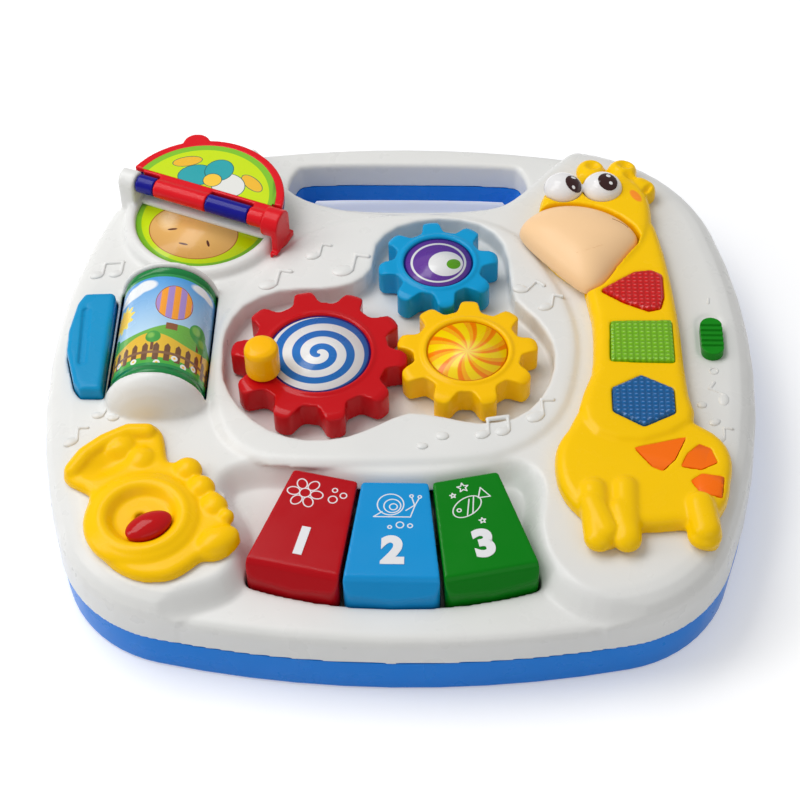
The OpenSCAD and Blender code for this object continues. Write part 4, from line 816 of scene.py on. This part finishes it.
def line_on(name, target, points, r, material):
    """A thin raised line that lies on a piece's surface."""
    tree = BVHTree.FromPolygons([v.co for v in target.data.vertices], [p.vertices for p in target.data.polygons])
    path = []
    for x, y in points:
        hit = tree.ray_cast(Vector((x * MM, y * MM, 0.2)), Vector((0, 0, -1)))[0]
        path.append((x, y, hit.z / MM - r * 0.35))
    return fused(name, rope(path, r), material, "casing", 0.14, 2)


muzzle = bpy.data.objects["giraffe_muzzle_soft"]
# the smile: a thin raised line coloured as painted shade of its groove
line_on("smile", muzzle, [(126.2, 96.0), (129.6, 95.2), (132.6, 93.8), (135.4, 91.8)], 0.42, SMILE_SHADE)
line_on("muzzle_fold", muzzle, [(103.5, 64.6), (109, 66.2), (114, 68.6), (118.8, 71.6)], 0.3, PEACH)
skin("giraffe_spots", ORANGE)
softened("lens_red", LENS_RED, 0.55, 3)
softened("lens_green", LENS_GREEN, 0.55, 3)
softened("lens_blue", LENS_BLUE, 0.55, 3)
softened("switch_knob", SWITCH_GREEN, 0.35, 3)


# ---------------------------------------------------------------- camera, light and floor
AIM, DISTANCE, LENS = (0, -0.0205, 0.04), 1.2, 92.45
LAMPS = {
    "top_box": ((-0.7, 0.35, 1.5), (1.4, 0.8), 15),
    "left_box": ((-1.5, -0.2, 1.0), (0.6, 0.9), 6),
    "front_fill": ((0.6, -1.4, 0.9), (1.4, 0.8), 2),
}


def camera():
    turn, tilt, roll = math.radians(2.8), math.radians(48.8), math.radians(-1.5)
    back = Vector((math.sin(turn) * math.cos(tilt), -math.cos(turn) * math.cos(tilt), math.sin(tilt)))
    right = Vector((math.cos(turn), math.sin(turn), 0))
    up = back.cross(right)
    right, up = right * math.cos(roll) + up * math.sin(roll), up * math.cos(roll) - right * math.sin(roll)
    data = bpy.data.cameras.new("camera")
    data.lens = LENS
    data.clip_end = 20
    eye = bpy.data.objects.new("camera", data)
    bpy.context.scene.collection.objects.link(eye)
    pose = Matrix((right, up, back)).transposed().to_4x4()
    pose.translation = Vector(AIM) + back * DISTANCE
    eye.matrix_world = pose
    bpy.context.scene.camera = eye


def area(name, place, size, power, target=(0, 0, 0.05)):
    data = bpy.data.lights.new(name, "AREA")
    data.shape = "RECTANGLE"
    data.size, data.size_y = size
    data.energy = power
    lamp = bpy.data.objects.new(name, data)
    bpy.context.scene.collection.objects.link(lamp)
    lamp.location = place
    lamp.rotation_euler = (Vector(target) - Vector(place)).to_track_quat("-Z", "Y").to_euler()


def white_seen(tree, plain, bright):
    """The bright shader where the eye looks at it, straight or in gloss or glass; the plain one for the light."""
    path = tree.nodes.new("ShaderNodeLightPath")
    direct = tree.nodes.new("ShaderNodeMath")
    direct.operation = "ADD"
    tree.links.new(path.outputs["Is Camera Ray"], direct.inputs[0])
    tree.links.new(path.outputs["Is Glossy Ray"], direct.inputs[1])
    seen = tree.nodes.new("ShaderNodeMath")
    seen.operation = "ADD"
    seen.use_clamp = True
    tree.links.new(direct.outputs[0], seen.inputs[0])
    tree.links.new(path.outputs["Is Transmission Ray"], seen.inputs[1])
    pick = tree.nodes.new("ShaderNodeMixShader")
    tree.links.new(seen.outputs[0], pick.inputs[0])
    tree.links.new(plain, pick.inputs[1])
    tree.links.new(bright, pick.inputs[2])
    return pick.outputs[0]


def floor():
    bm = bmesh.new()
    bmesh.ops.create_grid(bm, x_segments=1, y_segments=1, size=6)
    mesh = bpy.data.meshes.new("floor")
    bm.to_mesh(mesh)
    bm.free()
    plane = bpy.data.objects.new("floor", mesh)
    bpy.context.scene.collection.objects.link(plane)
    paint = Paint("floor_white", (0.88, 0.88, 0.885), 0.5)
    paint.finish(strength=0, uneven=0.0)
    glow = paint.node("ShaderNodeEmission", {"Color": (1, 1, 1, 1), "Strength": 0.3})
    both = paint.node("ShaderNodeAddShader", {0: paint.shader.outputs[0], 1: glow.outputs[0]})
    paint.tree.links.new(white_seen(paint.tree, paint.shader.outputs[0], both.outputs[0]),
                         paint.tree.nodes["Material Output"].inputs["Surface"])
    plane.data.materials.append(paint.mat)


def world():
    sky = bpy.data.worlds.new("studio")
    bpy.context.scene.world = sky
    sky.use_nodes = True
    back = sky.node_tree.nodes["Background"]
    back.inputs["Color"].default_value = (1, 1, 1, 1)
    back.inputs["Strength"].default_value = 0.42


camera()
floor()
world()
for lamp_name, (lamp_place, lamp_size, lamp_power) in LAMPS.items():
    area(lamp_name, lamp_place, lamp_size, lamp_power)
bpy.context.scene.view_settings.view_transform = "Standard"
